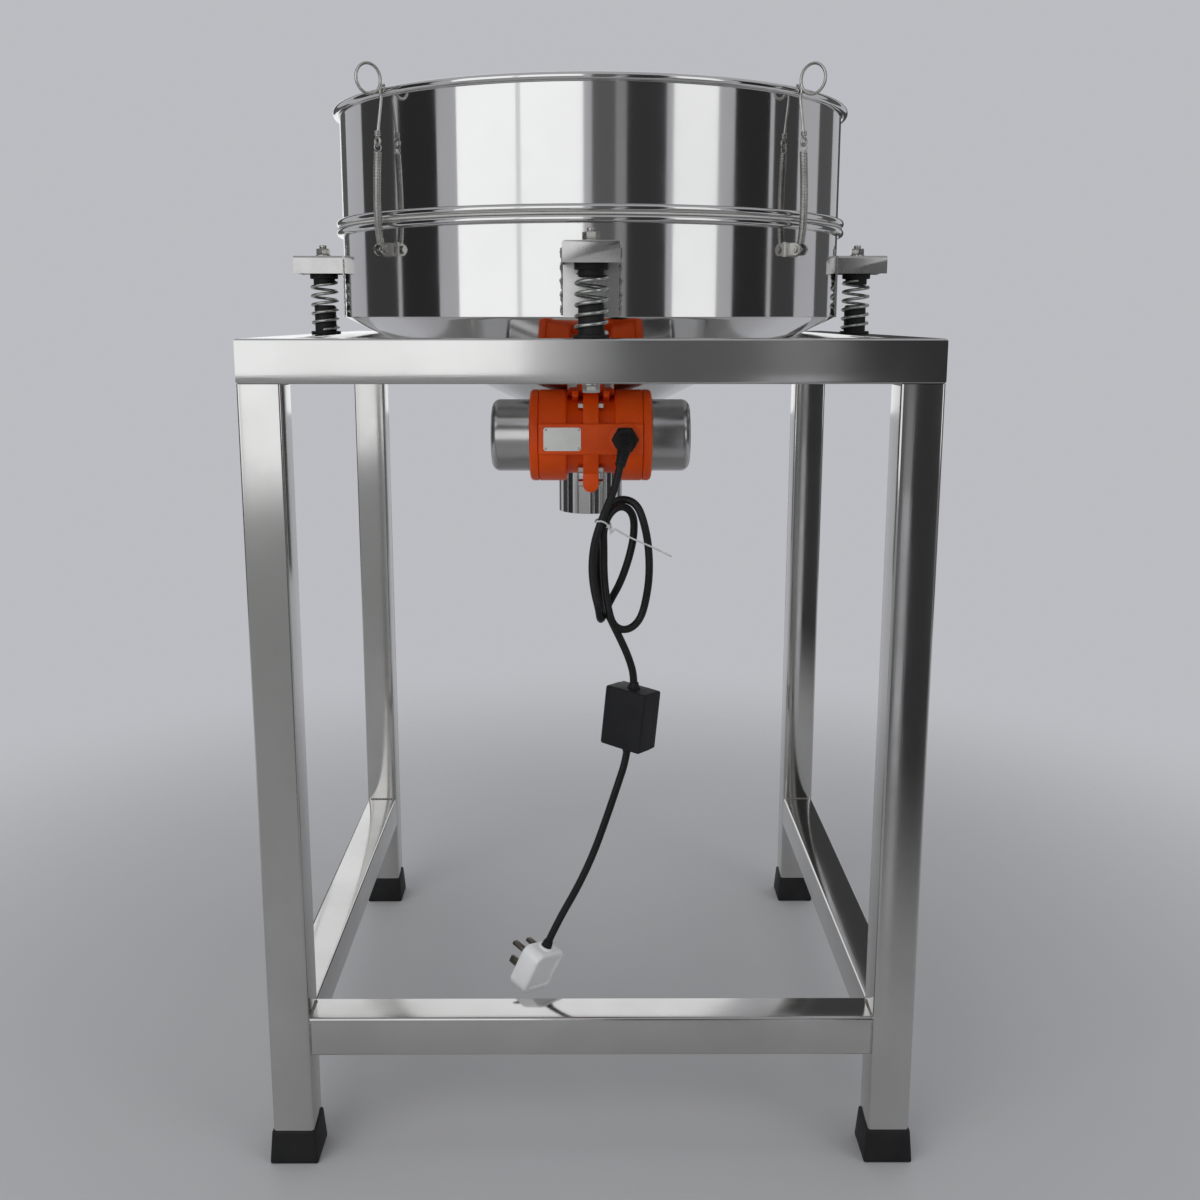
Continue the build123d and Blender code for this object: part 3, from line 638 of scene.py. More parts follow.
    @staticmethod
    def line(name: str, points: Sequence[Point], radius: float, sides: int, steps: int,
             closed: bool = False) -> bpy.types.Curve:
        """Smooth round line along points, as a curve.

        Args:
            name: Name of the curve.
            points: Control points in millimetres.
            radius: Radius of the line's section.
            sides: Bevel resolution of the section.
            steps: Faces along each stretch.
            closed: Whether the line closes on itself.

        Returns:
            The curve.
        """
        curve = bpy.data.curves.new(name, "CURVE")
        curve.dimensions = "3D"
        curve.bevel_depth = radius * MM
        curve.bevel_resolution = sides
        curve.resolution_u = steps
        curve.use_fill_caps = True
        line = curve.splines.new("NURBS")
        line.points.add(len(points) - 1)
        for spot, point in zip(line.points, points):
            spot.co = (*[value * MM for value in point], 1.0)
        line.use_cyclic_u = closed
        line.order_u = 3
        line.use_endpoint_u = not closed
        return curve

    @staticmethod
    def wire(points: Sequence[Point], radius: float, closed: bool = False, sides: int = 3,
             steps: int = 8) -> bmesh.types.BMesh:
        """Round wire along points.

        Args:
            points: Control points in millimetres.
            radius: Radius of the wire.
            closed: Whether the wire closes on itself.
            sides: Bevel resolution of the section.
            steps: Faces along each stretch.

        Returns:
            The wire's mesh.
        """
        curve = Shop.line("wire", points, radius, sides, steps, closed)
        holder = bpy.data.objects.new("wire", curve)
        mesh = bmesh.new()
        data = bpy.data.meshes.new_from_object(holder)
        mesh.from_mesh(data)
        bpy.data.meshes.remove(data)
        bpy.data.objects.remove(holder)
        bpy.data.curves.remove(curve)
        return Shop.cleaned(mesh)

    @staticmethod
    def ring(radius: float, wire: float, steps: int = 40, sides: int = 10) -> bmesh.types.BMesh:
        """Closed ring of round wire about the Z axis.

        Args:
            radius: Mean radius of the ring.
            wire: Radius of the wire.
            steps: Steps round the ring.
            sides: Faces round the wire.

        Returns:
            The ring's mesh.
        """
        mesh = bmesh.new()
        return Shop.turned(mesh, Shop.section(mesh, radius, wire, sides), steps)

    @staticmethod
    def corner(middle: tuple[float, float], radius: float, start: float, end: float,
               count: int = 7) -> list[tuple[float, float]]:
        """Points on a rounded corner of an outline.

        Args:
            middle: Middle of the rounding.
            radius: Its radius.
            start: First angle in degrees.
            end: Last angle in degrees.
            count: Number of points.

        Returns:
            The points in order.
        """
        turns = [radians(start + (end - start) * step / (count - 1)) for step in range(count)]
        return [(middle[0] + radius * cos(a), middle[1] + radius * sin(a)) for a in turns]

    @staticmethod
    def coil(radius: float, wire: float, rise: float, turns: float, base: float = 0.0, sides: int = 10,
             steps: int = 28) -> bmesh.types.BMesh:
        """Helical coil about the Z axis, made by one screw turn of a circle.

        Args:
            radius: Mean radius of the coil.
            wire: Radius of the wire.
            rise: Height gained over the whole coil.
            turns: Number of turns.
            base: Height at which it starts.
            sides: Number of faces round the wire.
            steps: Steps in each turn.

        Returns:
            The coil's mesh.
        """
        mesh = bmesh.new()
        count = max(3, round(steps * turns))
        bmesh.ops.spin(mesh, geom=Shop.section(mesh, radius, wire, sides, base), cent=(0, 0, 0),
                       axis=(0, 0, 1), dvec=(0, 0, rise * MM / count), angle=2 * pi * turns,
                       steps=count, use_merge=False, use_duplicate=False)
        Shop.capped(mesh)
        bmesh.ops.recalc_face_normals(mesh, faces=mesh.faces)
        return mesh

    @staticmethod
    def prism(sides: int, radius: float, height: float, bevel: float = 0.0) -> bmesh.types.BMesh:
        """Upright regular prism that stands on the origin.

        Args:
            sides: Number of its sides.
            radius: Distance from its middle to a corner.
            height: Its height.
            bevel: Rounding of its edges.

        Returns:
            The prism's mesh.
        """
        mesh = bmesh.new()
        bmesh.ops.create_cone(mesh, cap_ends=True, segments=sides, radius1=radius * MM, radius2=radius * MM,
                              depth=height * MM, matrix=Matrix.Translation((0, 0, height * MM / 2)))
        if bevel:
            flat = [e for e in mesh.edges if span(e, 2) < MERGE]
            Shop.bevelled(mesh, flat, bevel, 2)
        return mesh

    @staticmethod
    def weld(points: Sequence[Point], size: float, spacing: float = 2.0) -> bmesh.types.BMesh:
        """Row of overlapping weld ripples along points, no two neighbours of one size.

        Args:
            points: The points of the line in millimetres.
            size: Radius of a ripple.
            spacing: Distance from one ripple to the next.

        Returns:
            The bead's mesh.
        """
        mesh = bmesh.new()
        unevenness, rhythm = 0.16, 2.4
        number = 0
        for start, end in zip(points, points[1:]):
            first, last = Vector(start), Vector(end)
            count = max(1, round((last - first).length / spacing))
            for step in range(count):
                at = first.lerp(last, step / count) * MM
                grown = size * MM * (1.0 + unevenness * sin(number * rhythm))
                bmesh.ops.create_icosphere(mesh, subdivisions=1, radius=grown, matrix=Matrix.Translation(at))
                number += 1
        return mesh

    @staticmethod
    def piece(name: str, mesh: bmesh.types.BMesh, body: str, finishes: Sequence[str],
              stands_for: Sequence[str] = (), crease: float = 32.0) -> bpy.types.Object:
        """Makes a finished piece that moves with a body.

        Args:
            name: Name of the piece.
            mesh: Its mesh, which is freed.
            body: Body it rides on, or nothing for a piece that stretches between bodies.
            finishes: Names of its finishes.
            stands_for: Nodes of the frame that it replaces.
            crease: Angle above which an edge stays sharp, in degrees.

        Returns:
            The piece's object.
        """
        data = Shop.data_of(name, mesh)
        data.shade_smooth()
        data.set_sharp_from_angle(angle=radians(crease))
        made = linked(name, data)
        FINISHES.give(made, *finishes)
        if body:
            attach(made, body)
        if stands_for:
            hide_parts(*stands_for)
        LOG.info("%s: %d faces", name, len(data.polygons))
        return made


def turned_to(angle: float, axis: str = "Z") -> Matrix:
    """Rotation by degrees about an axis through the origin."""
    return Matrix.Rotation(radians(angle), 4, axis)


def around_sides() -> list[Matrix]:
    """Turns that take a piece on the right to all four sides."""
    return [turned_to(angle) for angle in SIDES.values()]


@dataclass
class Stand:
    """Square-tube stand with welded corners and rubber feet."""

    half: float = 300.0
    top: float = 770.0
    tube: float = 38.0
    corner: float = 2.5
    foot_floor: float = 6.0
    stretcher_top: float = 147.0
    setback: float = 2.0
    foot_height: float = 33.0
    foot_base: float = 46.0
    foot_rim: float = 41.0
    weld: float = 1.5
    ripple: float = 1.9

    def build(self) -> None:
        """Makes the stand."""
        self._legs()
        self._rails()
        self._stretchers()
        self._feet()
        self._welds()

    def _tube(self, low: Point, high: Point, axis: int) -> bmesh.types.BMesh:
        """Square tube with rounded long edges.

        Args:
            low: Lowest corner.
            high: Highest corner.
            axis: Index of the axis it runs along.

        Returns:
            The tube's mesh.
        """
        mesh = Shop.bar(low, high)
        long = [e for e in mesh.edges if span(e, axis) > 0.05]
        Shop.bevelled(mesh, long, self.corner, 4)
        return mesh

    def _legs(self) -> None:
        """Four upright legs."""
        centre = self.half - self.tube / 2
        for name, (x, y) in {"front_left": (-1, -1), "front_right": (1, -1),
                             "back_left": (-1, 1), "back_right": (1, 1)}.items():
            low = (x * centre - self.tube / 2, y * centre - self.tube / 2, self.foot_floor)
            high = (x * centre + self.tube / 2, y * centre + self.tube / 2, self.top - self.tube)
            Shop.piece("tube_leg_" + name, self._tube(low, high, 2), "stand", ["tube_z"], ["leg_" + name])

    def _rails(self) -> None:
        """Four top rails with mitred ends."""
        for name, angle in SIDES.items():
            mesh = self._tube((self.half - self.tube, -self.half, self.top - self.tube),
                              (self.half, self.half, self.top), 1)
            for side in (-1, 1):
                Shop.cut(mesh, (self.half * MM, side * self.half * MM, 0), (-1, side, 0))
                Shop.capped(mesh)
            Shop.placed(mesh, turned_to(angle))
            finish = "tube_y" if name in ("left", "right") else "tube_x"
            Shop.piece("tube_rail_" + name, mesh, "stand", [finish], ["top_rail_" + name])

    def _stretchers(self) -> None:
        """Low stretchers at the front and the sides."""
        inner = self.half - self.tube
        low, high = self.stretcher_top - self.tube, self.stretcher_top
        back = self.setback
        front = self._tube((-inner, -self.half + back, low), (inner, -inner + back, high), 0)
        Shop.piece("tube_stretcher_front", front, "stand", ["tube_x"], ["stretcher_front"])
        for name, x in (("left", -1), ("right", 1)):
            ends = sorted((x * inner, x * self.half))
            side = self._tube((ends[0], -inner, low), (ends[1], inner, high), 1)
            Shop.piece("tube_stretcher_" + name, side, "stand", ["tube_y"], ["stretcher_" + name])

    def _feet(self) -> None:
        """Moulded rubber cups under the legs."""
        mesh = Shop.bar((-0.5, -0.5, 0), (0.5, 0.5, self.foot_height))
        for vert in mesh.verts:
            width = self.foot_base if vert.co.z < 0.001 else self.foot_rim
            vert.co.x = (1 if vert.co.x > 0 else -1) * width / 2 * MM
            vert.co.y = (1 if vert.co.y > 0 else -1) * width / 2 * MM
        Shop.bevelled(mesh, list(mesh.edges), 2.4, 3)
        top = [f for f in mesh.faces if f.normal.z > 0.99]
        bmesh.ops.inset_region(mesh, faces=top, thickness=0.0012, depth=-0.0008, use_even_offset=True)
        centre = (self.half - self.tube / 2) * MM
        places = [Matrix.Translation((x * centre, y * centre, 0)) for x in (-1, 1) for y in (-1, 1)]
        Shop.piece("foot_cups", Shop.copies(mesh, places), "stand", ["black_rubber"], ["rubber_feet"])

    def _welds(self) -> None:
        """Weld beads where tubes meet."""
        inner = self.half - self.tube
        under = self.top - self.tube - 0.2
        lines = []
        for x in (-1, 1):
            for y in (-1, 1):
                lines.append([(x * inner, y * (self.half - 4), under), (x * inner, y * (inner + 4), under)])
                lines.append([(x * (self.half - 4), y * inner, under), (x * (inner + 4), y * inner, under)])
        for x in (-1, 1):
            for z in (self.stretcher_top - self.tube, self.stretcher_top):
                lines.append([(x * inner, -self.half + 6, z), (x * inner, -inner - 2, z)])
                for y in (-1, 1):
                    lines.append([(x * (self.half - 5), y * inner, z), (x * (inner + 5), y * inner, z)])
            face = -self.half + self.setback + 0.4
            lines.append([(x * inner, face, self.stretcher_top - self.tube + 3),
                          (x * inner, face, self.stretcher_top - 3)])
        beads = Shop.joined(*[Shop.weld(line, self.weld, self.ripple) for line in lines])
        Shop.piece("stand_weld_beads", beads, "stand", ["weld_bead"], crease=80.0)


@dataclass
class Isolators:
    """Coil springs on rubber seats, under rubber pads and folded brackets."""

    radius: float = 281.0
    rail_top: float = Stand.top
    tube: float = Stand.tube
    seat_flange: float = 3.0
    flange_radius: float = 15.5
    core_radius: float = 11.2
    core_height: float = 27.0
    coil_low: float = 773.0
    coil_high: float = 827.0
    coil_mean: float = 13.1
    wire: float = 1.6
    turns: float = 5.5
    pad_radius: float = 14.6
    pad_top: float = 847.0
    plate: float = 3.0
    bolt: float = 4.0
    washer: float = 8.0
    washer_height: float = 1.6
    nut: float = 7.5
    nut_height: float = 6.5
    stud_over_nut: float = 3.5
    coil_end_gap: float = 0.05

    def build(self) -> None:
        """Makes the four isolators."""
        self._springs()
        self._rubbers()
        self._fasteners()

    def _springs(self) -> None:
        """Coils between the rubber seats and the pads, left on no body."""
        base = self.coil_low + self.wire + self.coil_end_gap
        rise = self.coil_high - self.coil_low - 2 * (self.wire + self.coil_end_gap)
        for name, angle in SIDES.items():
            mesh = Shop.coil(self.coil_mean, self.wire, rise, self.turns, base, 12, 40)
            Shop.placed(mesh, turned_to(90.0), (self.radius, 0, 0))
            Shop.placed(mesh, turned_to(angle))
            made = Shop.piece("coil_" + name, mesh, "", ["spring_wire"], ["isolator_spring_" + name])
            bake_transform(made)

    def _four(self, mesh: bmesh.types.BMesh) -> bmesh.types.BMesh:
        """Repeats a mesh that stands on the Z axis at all four isolators."""
        return Shop.copies(Shop.placed(mesh, shift=(self.radius, 0, 0)), around_sides())

    def _rubbers(self) -> None:
        """Seats below and pads above the coils."""
        seat_top = self.rail_top + self.seat_flange
        core_top = seat_top + self.core_height
        seat = Shop.spun([(0, core_top), (0, self.rail_top), (self.flange_radius - 0.6, self.rail_top),
                          (self.flange_radius, self.rail_top + 0.6), (self.flange_radius, seat_top - 0.8),
                          (self.flange_radius - 0.8, seat_top), (self.core_radius, seat_top),
                          (self.core_radius, core_top - 2.2), (self.core_radius - 0.7, core_top - 0.7),
                          (self.core_radius - 2.2, core_top)], 40, closed=False)
        Shop.piece("seat_rubbers", self._four(seat), "stand", ["black_rubber"], ["lower_spring_seats"])
        low = self.coil_high
        pad = Shop.spun([(0, low - 6), (self.core_radius - 0.8, low - 6), (self.core_radius, low - 5.2),
                         (self.core_radius, low), (self.pad_radius - 0.8, low), (self.pad_radius, low + 0.8),
                         (self.pad_radius, self.pad_top - 0.8), (self.pad_radius - 0.8, self.pad_top),
                         (0, self.pad_top)], 40, closed=False)
        Shop.piece("pad_rubbers", self._four(pad), "sieve_body", ["black_rubber"], ["upper_spring_pads"])

    def _threaded(self, low: float, high: float) -> bmesh.types.BMesh:
        """Threaded rod end.

        Args:
            low: Its lowest height.
            high: Its highest height.

        Returns:
            The rod's mesh.
        """
        pitch = 1.25
        outline = [(0, low)]
        height = low
        while height + pitch < high - 0.8:
            outline += [(self.bolt, height + 0.15), (self.bolt, height + 0.35),
                        (self.bolt - 0.6, height + 0.75), (self.bolt - 0.6, height + 0.9)]
            height += pitch
        outline += [(self.bolt, height + 0.1), (self.bolt, high - 0.8), (self.bolt - 0.8, high), (0, high)]
        return Shop.spun(outline, 24, closed=False)

    def _nut(self, base: float) -> bmesh.types.BMesh:
        """Hexagonal nut with chamfered corners, its lower face at a height."""
        return Shop.placed(Shop.prism(6, self.nut, self.nut_height, 0.6), shift=(0, 0, base))

    def _washer(self, base: float) -> bmesh.types.BMesh:
        """Flat washer with rounded edges, its lower face at a height."""
        top, edge = base + self.washer_height, 0.3
        return Shop.spun([(self.bolt, base), (self.washer - edge, base), (self.washer, base + edge),
                          (self.washer, top - edge), (self.washer - edge, top), (self.bolt, top)], 32)

    def _fasteners(self) -> None:
        """Studs with nuts on the brackets and bolts under the rails."""
        top = self.pad_top + self.plate
        nut = top + self.washer_height
        stud_end = nut + self.nut_height + self.stud_over_nut
        stud = Shop.joined(self._washer(top), self._nut(nut), self._threaded(top - 4, stud_end))
        Shop.piece("bracket_nuts", self._four(stud), "sieve_body", ["zinc"], ["bracket_studs"])
        washer = self.rail_top - self.tube - self.washer_height
        head = washer - self.nut_height
        bolt = Shop.joined(self._washer(washer), self._nut(head), self._threaded(head, self.rail_top))
        Shop.piece("rail_bolts", self._four(bolt), "stand", ["zinc"], ["seat_bolts"])


@dataclass
class Drum:
    """Two barrels with beads, cone, spout, and the brackets welded on."""

    radius: float = 255.0
    sheet: float = 1.5
    bead: float = 3.5
    knuckle: float = 787.5
    lower_rim: float = 874.3
    floor: float = 876.3
    rim: float = 990.3
    slope: float = tan(radians(CONE_ANGLE))
    spout: float = 34.0
    spout_length: float = 98.0
    knuckle_round: float = 9.0
    knuckle_seam: float = 0.4
    bracket_top: float = 850.0
    bracket_half: float = 24.2
    bracket_end: float = 308.0
    bracket_depth: float = 18.0
    bracket_side: float = 2.5
    bracket_plate: float = 3.0
    steps: int = 256

    def build(self) -> None:
        """Makes the drum."""
        self._upper()
        self._lower()
        self._cone()
        self._brackets()

    def _bead_arc(self, centre: float, start: float, end: float) -> list[tuple[float, float]]:
        """Points on a bead's round section.

        Args:
            centre: Height of the bead's middle.
            start: First angle in degrees, from the outside upwards.
            end: Last angle in degrees.

        Returns:
            Radius and height of each point.
        """
        return Shop.corner((self.radius - self.sheet / 2 + self.bead, centre), self.bead, start, end, 14)

    def _upper(self) -> None:
        """Upper barrel with a bead at each edge."""
        inner = self.radius - self.sheet
        outline = [(inner, self.floor + 0.6), (inner, self.rim - self.bead)]
        outline += self._bead_arc(self.rim - self.bead, 180, -142)
        outline += self._bead_arc(self.floor + self.bead, 142, -100)
        outline += [(inner + 0.6, self.floor)]
        barrel = Shop.spun(outline, self.steps)
        Shop.piece("barrel_upper", barrel, "sieve_body", ["mirror_sheet"], ["upper_barrel"])

    def _lower(self) -> None:
        """Lower barrel with its top bead."""
        inner = self.radius - self.sheet
        seam = self.knuckle + self.knuckle_seam
        outline = [(inner, seam), (inner, self.lower_rim - self.bead)]
        outline += self._bead_arc(self.lower_rim - self.bead, 180, -142)
        outline += [(self.radius, self.knuckle + 6), (self.radius, seam)]
        barrel = Shop.spun(outline, self.steps)
        Shop.piece("barrel_lower", barrel, "sieve_body", ["mirror_sheet"], ["lower_barrel"])

    def _cone(self) -> None:
        """Cone with a rounded knuckle, and the spout."""
        foot = self.knuckle - (self.radius - self.spout) * self.slope
        rise = self.sheet * sqrt(1 + self.slope ** 2) - self.sheet * self.slope
        tip = self.spout - self.sheet
        reach = self.knuckle_round * tan(radians((90 - CONE_ANGLE) / 2))
        above = (self.radius, self.knuckle + self.knuckle_seam)
        knuckle = (self.radius, self.knuckle)
        below = (self.radius - reach, self.knuckle - reach * self.slope)
        cone = [above]
        for step in range(9):
            part = step / 8
            cone.append(tuple((1 - part) ** 2 * a + 2 * part * (1 - part) * k + part ** 2 * b
                              for a, k, b in zip(above, knuckle, below)))
        cone += [(self.spout + 3, foot + 3 * self.slope), (self.spout + 0.8, foot - 0.2),
                 (self.spout, foot - 2.5), (tip, foot - 2.5), (tip, foot + rise),
                 (self.radius - self.sheet, self.knuckle + rise)]
        Shop.piece("cone_sheet", Shop.spun(cone, self.steps), "sieve_body", ["mirror_sheet"], ["hopper_cone"])
        low = foot - self.spout_length
        spout = [(tip, low + 0.3), (tip + 0.3, low), (self.spout - 0.3, low), (self.spout, low + 0.3),
                 (self.spout, foot - 2.4), (tip, foot - 2.4)]
        Shop.piece("spout_pipe", Shop.spun(spout, 96), "sieve_body", ["mirror_sheet"], ["outlet_spout"])

    def _brackets(self) -> None:
        """Folded channels with welded back plates."""
        top, half, side = self.bracket_top, self.bracket_half, self.bracket_side
        low = top - self.bracket_depth
        for name, angle in SIDES.items():
            start = sqrt(self.radius ** 2 - half ** 2)
            plate = Shop.bar((start, -half, low), (self.bracket_end, half, top))
            folds = [e for e in plate.edges if min(v.co.z for v in e.verts) > (top - 1) * MM
                     and span(e, 0) > 0.01]
            Shop.bevelled(plate, folds, 3.0, 5)
            ends = [e for e in plate.edges if min(v.co.x for v in e.verts) > (self.bracket_end - 1) * MM
                    and min(v.co.z for v in e.verts) > (top - 8) * MM]
            Shop.bevelled(plate, ends, 0.5, 2)
            under = [f for f in plate.faces if f.normal.z < -0.9]
            bmesh.ops.inset_region(plate, faces=under, thickness=side * MM, use_even_offset=True)
            bmesh.ops.translate(plate, vec=(0, 0, (self.bracket_depth - self.bracket_plate) * MM),
                                verts=list({v for f in under for v in f.verts}))
            back = bmesh.new()
            spread = sin(half / self.radius)
            outside = self.radius + self.bracket_plate
            corners = [(self.radius, self.knuckle), (outside, self.knuckle), (outside, top),
                       (self.radius, top)]
            points = [back.verts.new((x * cos(spread) * MM, -x * sin(spread) * MM, z * MM))
                      for x, z in corners]
            edges = [back.edges.new(pair) for pair in zip(points, points[1:] + points[:1])]
            bmesh.ops.spin(back, geom=points + edges, cent=(0, 0, 0), axis=(0, 0, 1), dvec=(0, 0, 0),
                           angle=2 * spread, steps=8, use_merge=False, use_duplicate=False)
            Shop.capped(back)
            bmesh.ops.recalc_face_normals(back, faces=back.faces)
            whole = Shop.placed(Shop.joined(plate, back), turned_to(angle))
            Shop.piece("bracket_plate_" + name, whole, "sieve_body", ["bracket_steel"],
                       ["spring_bracket_" + name])
        seams = []
        for hand in (-1, 1):
            line = []
            for step in range(15):
                height = self.knuckle + 3 + (top - self.knuckle - 6) * step / 14
                across = hand * (half + 0.9 + 0.9 * sin(step * 2.1))
                line.append((sqrt((self.radius + 0.6) ** 2 - across ** 2), across, height))
            seams.append(Shop.weld(line, 1.7, 2.0))
        Shop.piece("bracket_weld_beads", Shop.copies(Shop.joined(*seams), around_sides()), "sieve_body",
                   ["weld_bead"], crease=80.0)


@dataclass
class Screen:
    """Ring with wire cloth and the seal between the barrels."""

    wall: float = Drum.radius - Drum.sheet
    low: float = Drum.lower_rim
    outer: float = 259.75
    web: float = 1.5
    lip: float = 0.5
    thickness: float = 2.0
    gap: float = 2.0
    skirt: float = 12.0
    sheet: float = 1.6
    cloth_rise: float = 0.25
    steps: int = 192

    def build(self) -> None:
        """Makes the screen."""
        inner, flange = self.wall - self.gap, self.outer - self.web
        top = self.low + self.thickness
        under, over = self.low + self.lip, top - self.lip
        ring = Shop.spun([(inner - self.sheet, self.low - self.skirt), (inner, self.low - self.skirt),
                          (inner, under), (flange, under), (flange, over), (inner - self.sheet, over)],
                         self.steps)
        Shop.piece("screen_hoop", ring, "sieve_body", ["mirror_inside"], ["screen_ring"])
        cloth = bmesh.new()
        bmesh.ops.create_circle(cloth, cap_ends=True, segments=self.steps, radius=inner * MM)
        Shop.placed(cloth, shift=(0, 0, over + self.cloth_rise))
        Shop.piece("screen_mesh", cloth, "sieve_body", ["wire_cloth"], ["screen_cloth"])
        seal = Shop.spun([(self.wall, self.low), (self.outer - 0.6, self.low), (self.outer, self.low + 0.5),
                          (self.outer, top - 0.5), (self.outer - 0.6, top), (self.wall, top),
                          (self.wall, over), (flange, over), (flange, under), (self.wall, under)], self.steps)
        Shop.piece("screen_seal", seal, "sieve_body", ["seal_rubber"], ["screen_gasket"])


@dataclass
class Latches:
    """Wire hooks with finger rings, and the bowed close-wound springs that hold them down."""

    anchor_radius: float = 264.5
    anchor: float = 848.5
    bead_radius: float = 257.75
    bead: float = 986.8
    hook: float = 5.2
    wire: float = 1.4
    ring: float = 13.0
    ring_place: Point = (274.75, 995.9)
    eyelet_place: Point = (266.75, 942.8)
    eyelet: float = 3.6
    eyelet_wire: float = 1.2
    wrap_wire: float = 0.7
    spring_low: float = 852.4
    spring_high: float = 934.1
    spring_mean: float = 3.1
    spring_wire: float = 0.6
    spring_turns: int = 64
    spring_radius: float = 266.0
    spring_lean: float = 0.75
    spring_bow: float = 2.6
    bow_shape: float = 0.72
    pin_loop: float = 3.16
    top_loop: float = 937.9

    def build(self) -> None:
        """Makes the four latches."""
        for name, angle in LATCH_PLACES.items():
            body = "latch_" + name
            hook = Shop.placed(self._hook(), turned_to(angle))
            Shop.piece("hook_wire_" + name, hook, body, ["zinc"], ["latch_hook_" + name], crease=60.0)
            spring = Shop.placed(self._spring(), turned_to(angle))
            Shop.piece("spring_coil_" + name, spring, body, ["zinc"], ["latch_spring_" + name], crease=60.0)
        for node in ("latch_anchors", "latch_pins"):
            FINISHES.dress_node(node, "zinc")

    def _hook(self) -> bmesh.types.BMesh:
        """Bent wire over the bead with its finger ring and its eyelet.

        Returns:
            The hook's mesh at angle 0.
        """
        over = [(self.bead_radius + self.hook * cos(radians(a)), 0.0,
                 self.bead + self.hook * sin(radians(a))) for a in range(92, -49, -14)]
        leg_x, leg_z = self.eyelet_place
        leg = [(leg_x - 4.6, 0.0, leg_z + 33), (leg_x - 1.2, 0.0, leg_z + 12),
               (leg_x, 0.0, leg_z + self.eyelet)]
        bent = Shop.wire(over + leg, self.wire, steps=6)
        loop = Shop.placed(Shop.ring(self.ring, self.wire, 56, 12), turned_to(90, "X"),
                           (self.ring_place[0], 0, self.ring_place[1]))
        eye = Shop.placed(Shop.ring(self.eyelet, self.eyelet_wire, 28, 10), turned_to(90, "Y"),
                          (leg_x, 0, leg_z))
        wrap = Shop.placed(Shop.coil(self.wire + self.wrap_wire, self.wrap_wire, 4.6, 3.5, 0.0, 8, 16),
                           shift=(leg_x - 0.2, 0, leg_z + self.eyelet + 1.0))
        return Shop.joined(bent, loop, eye, wrap)

    def _spring(self) -> bmesh.types.BMesh:
        """Close-wound spring, bowed over the beads, with a loop at each end.

        Returns:
            The spring's mesh at angle 0.
        """
        length = self.spring_high - self.spring_low
        coil = Shop.coil(self.spring_mean, self.spring_wire, length, self.spring_turns, self.spring_low,
                         6, 14)
        for vert in coil.verts:
            part = (vert.co.z / MM - self.spring_low) / length
            bow = self.spring_bow * sin(pi * min(1.0, max(0.0, part)) ** self.bow_shape)
            vert.co.x += (self.spring_radius + self.spring_lean * part + bow) * MM
        low = Shop.placed(Shop.ring(self.pin_loop, self.spring_wire, 24, 8), turned_to(90, "X"),
                          (self.anchor_radius, 0, self.anchor))
        high = Shop.placed(Shop.ring(self.eyelet, self.spring_wire, 24, 8), turned_to(90, "X"),
                           (self.eyelet_place[0], 0, self.top_loop))
        return Shop.joined(coil, low, high)


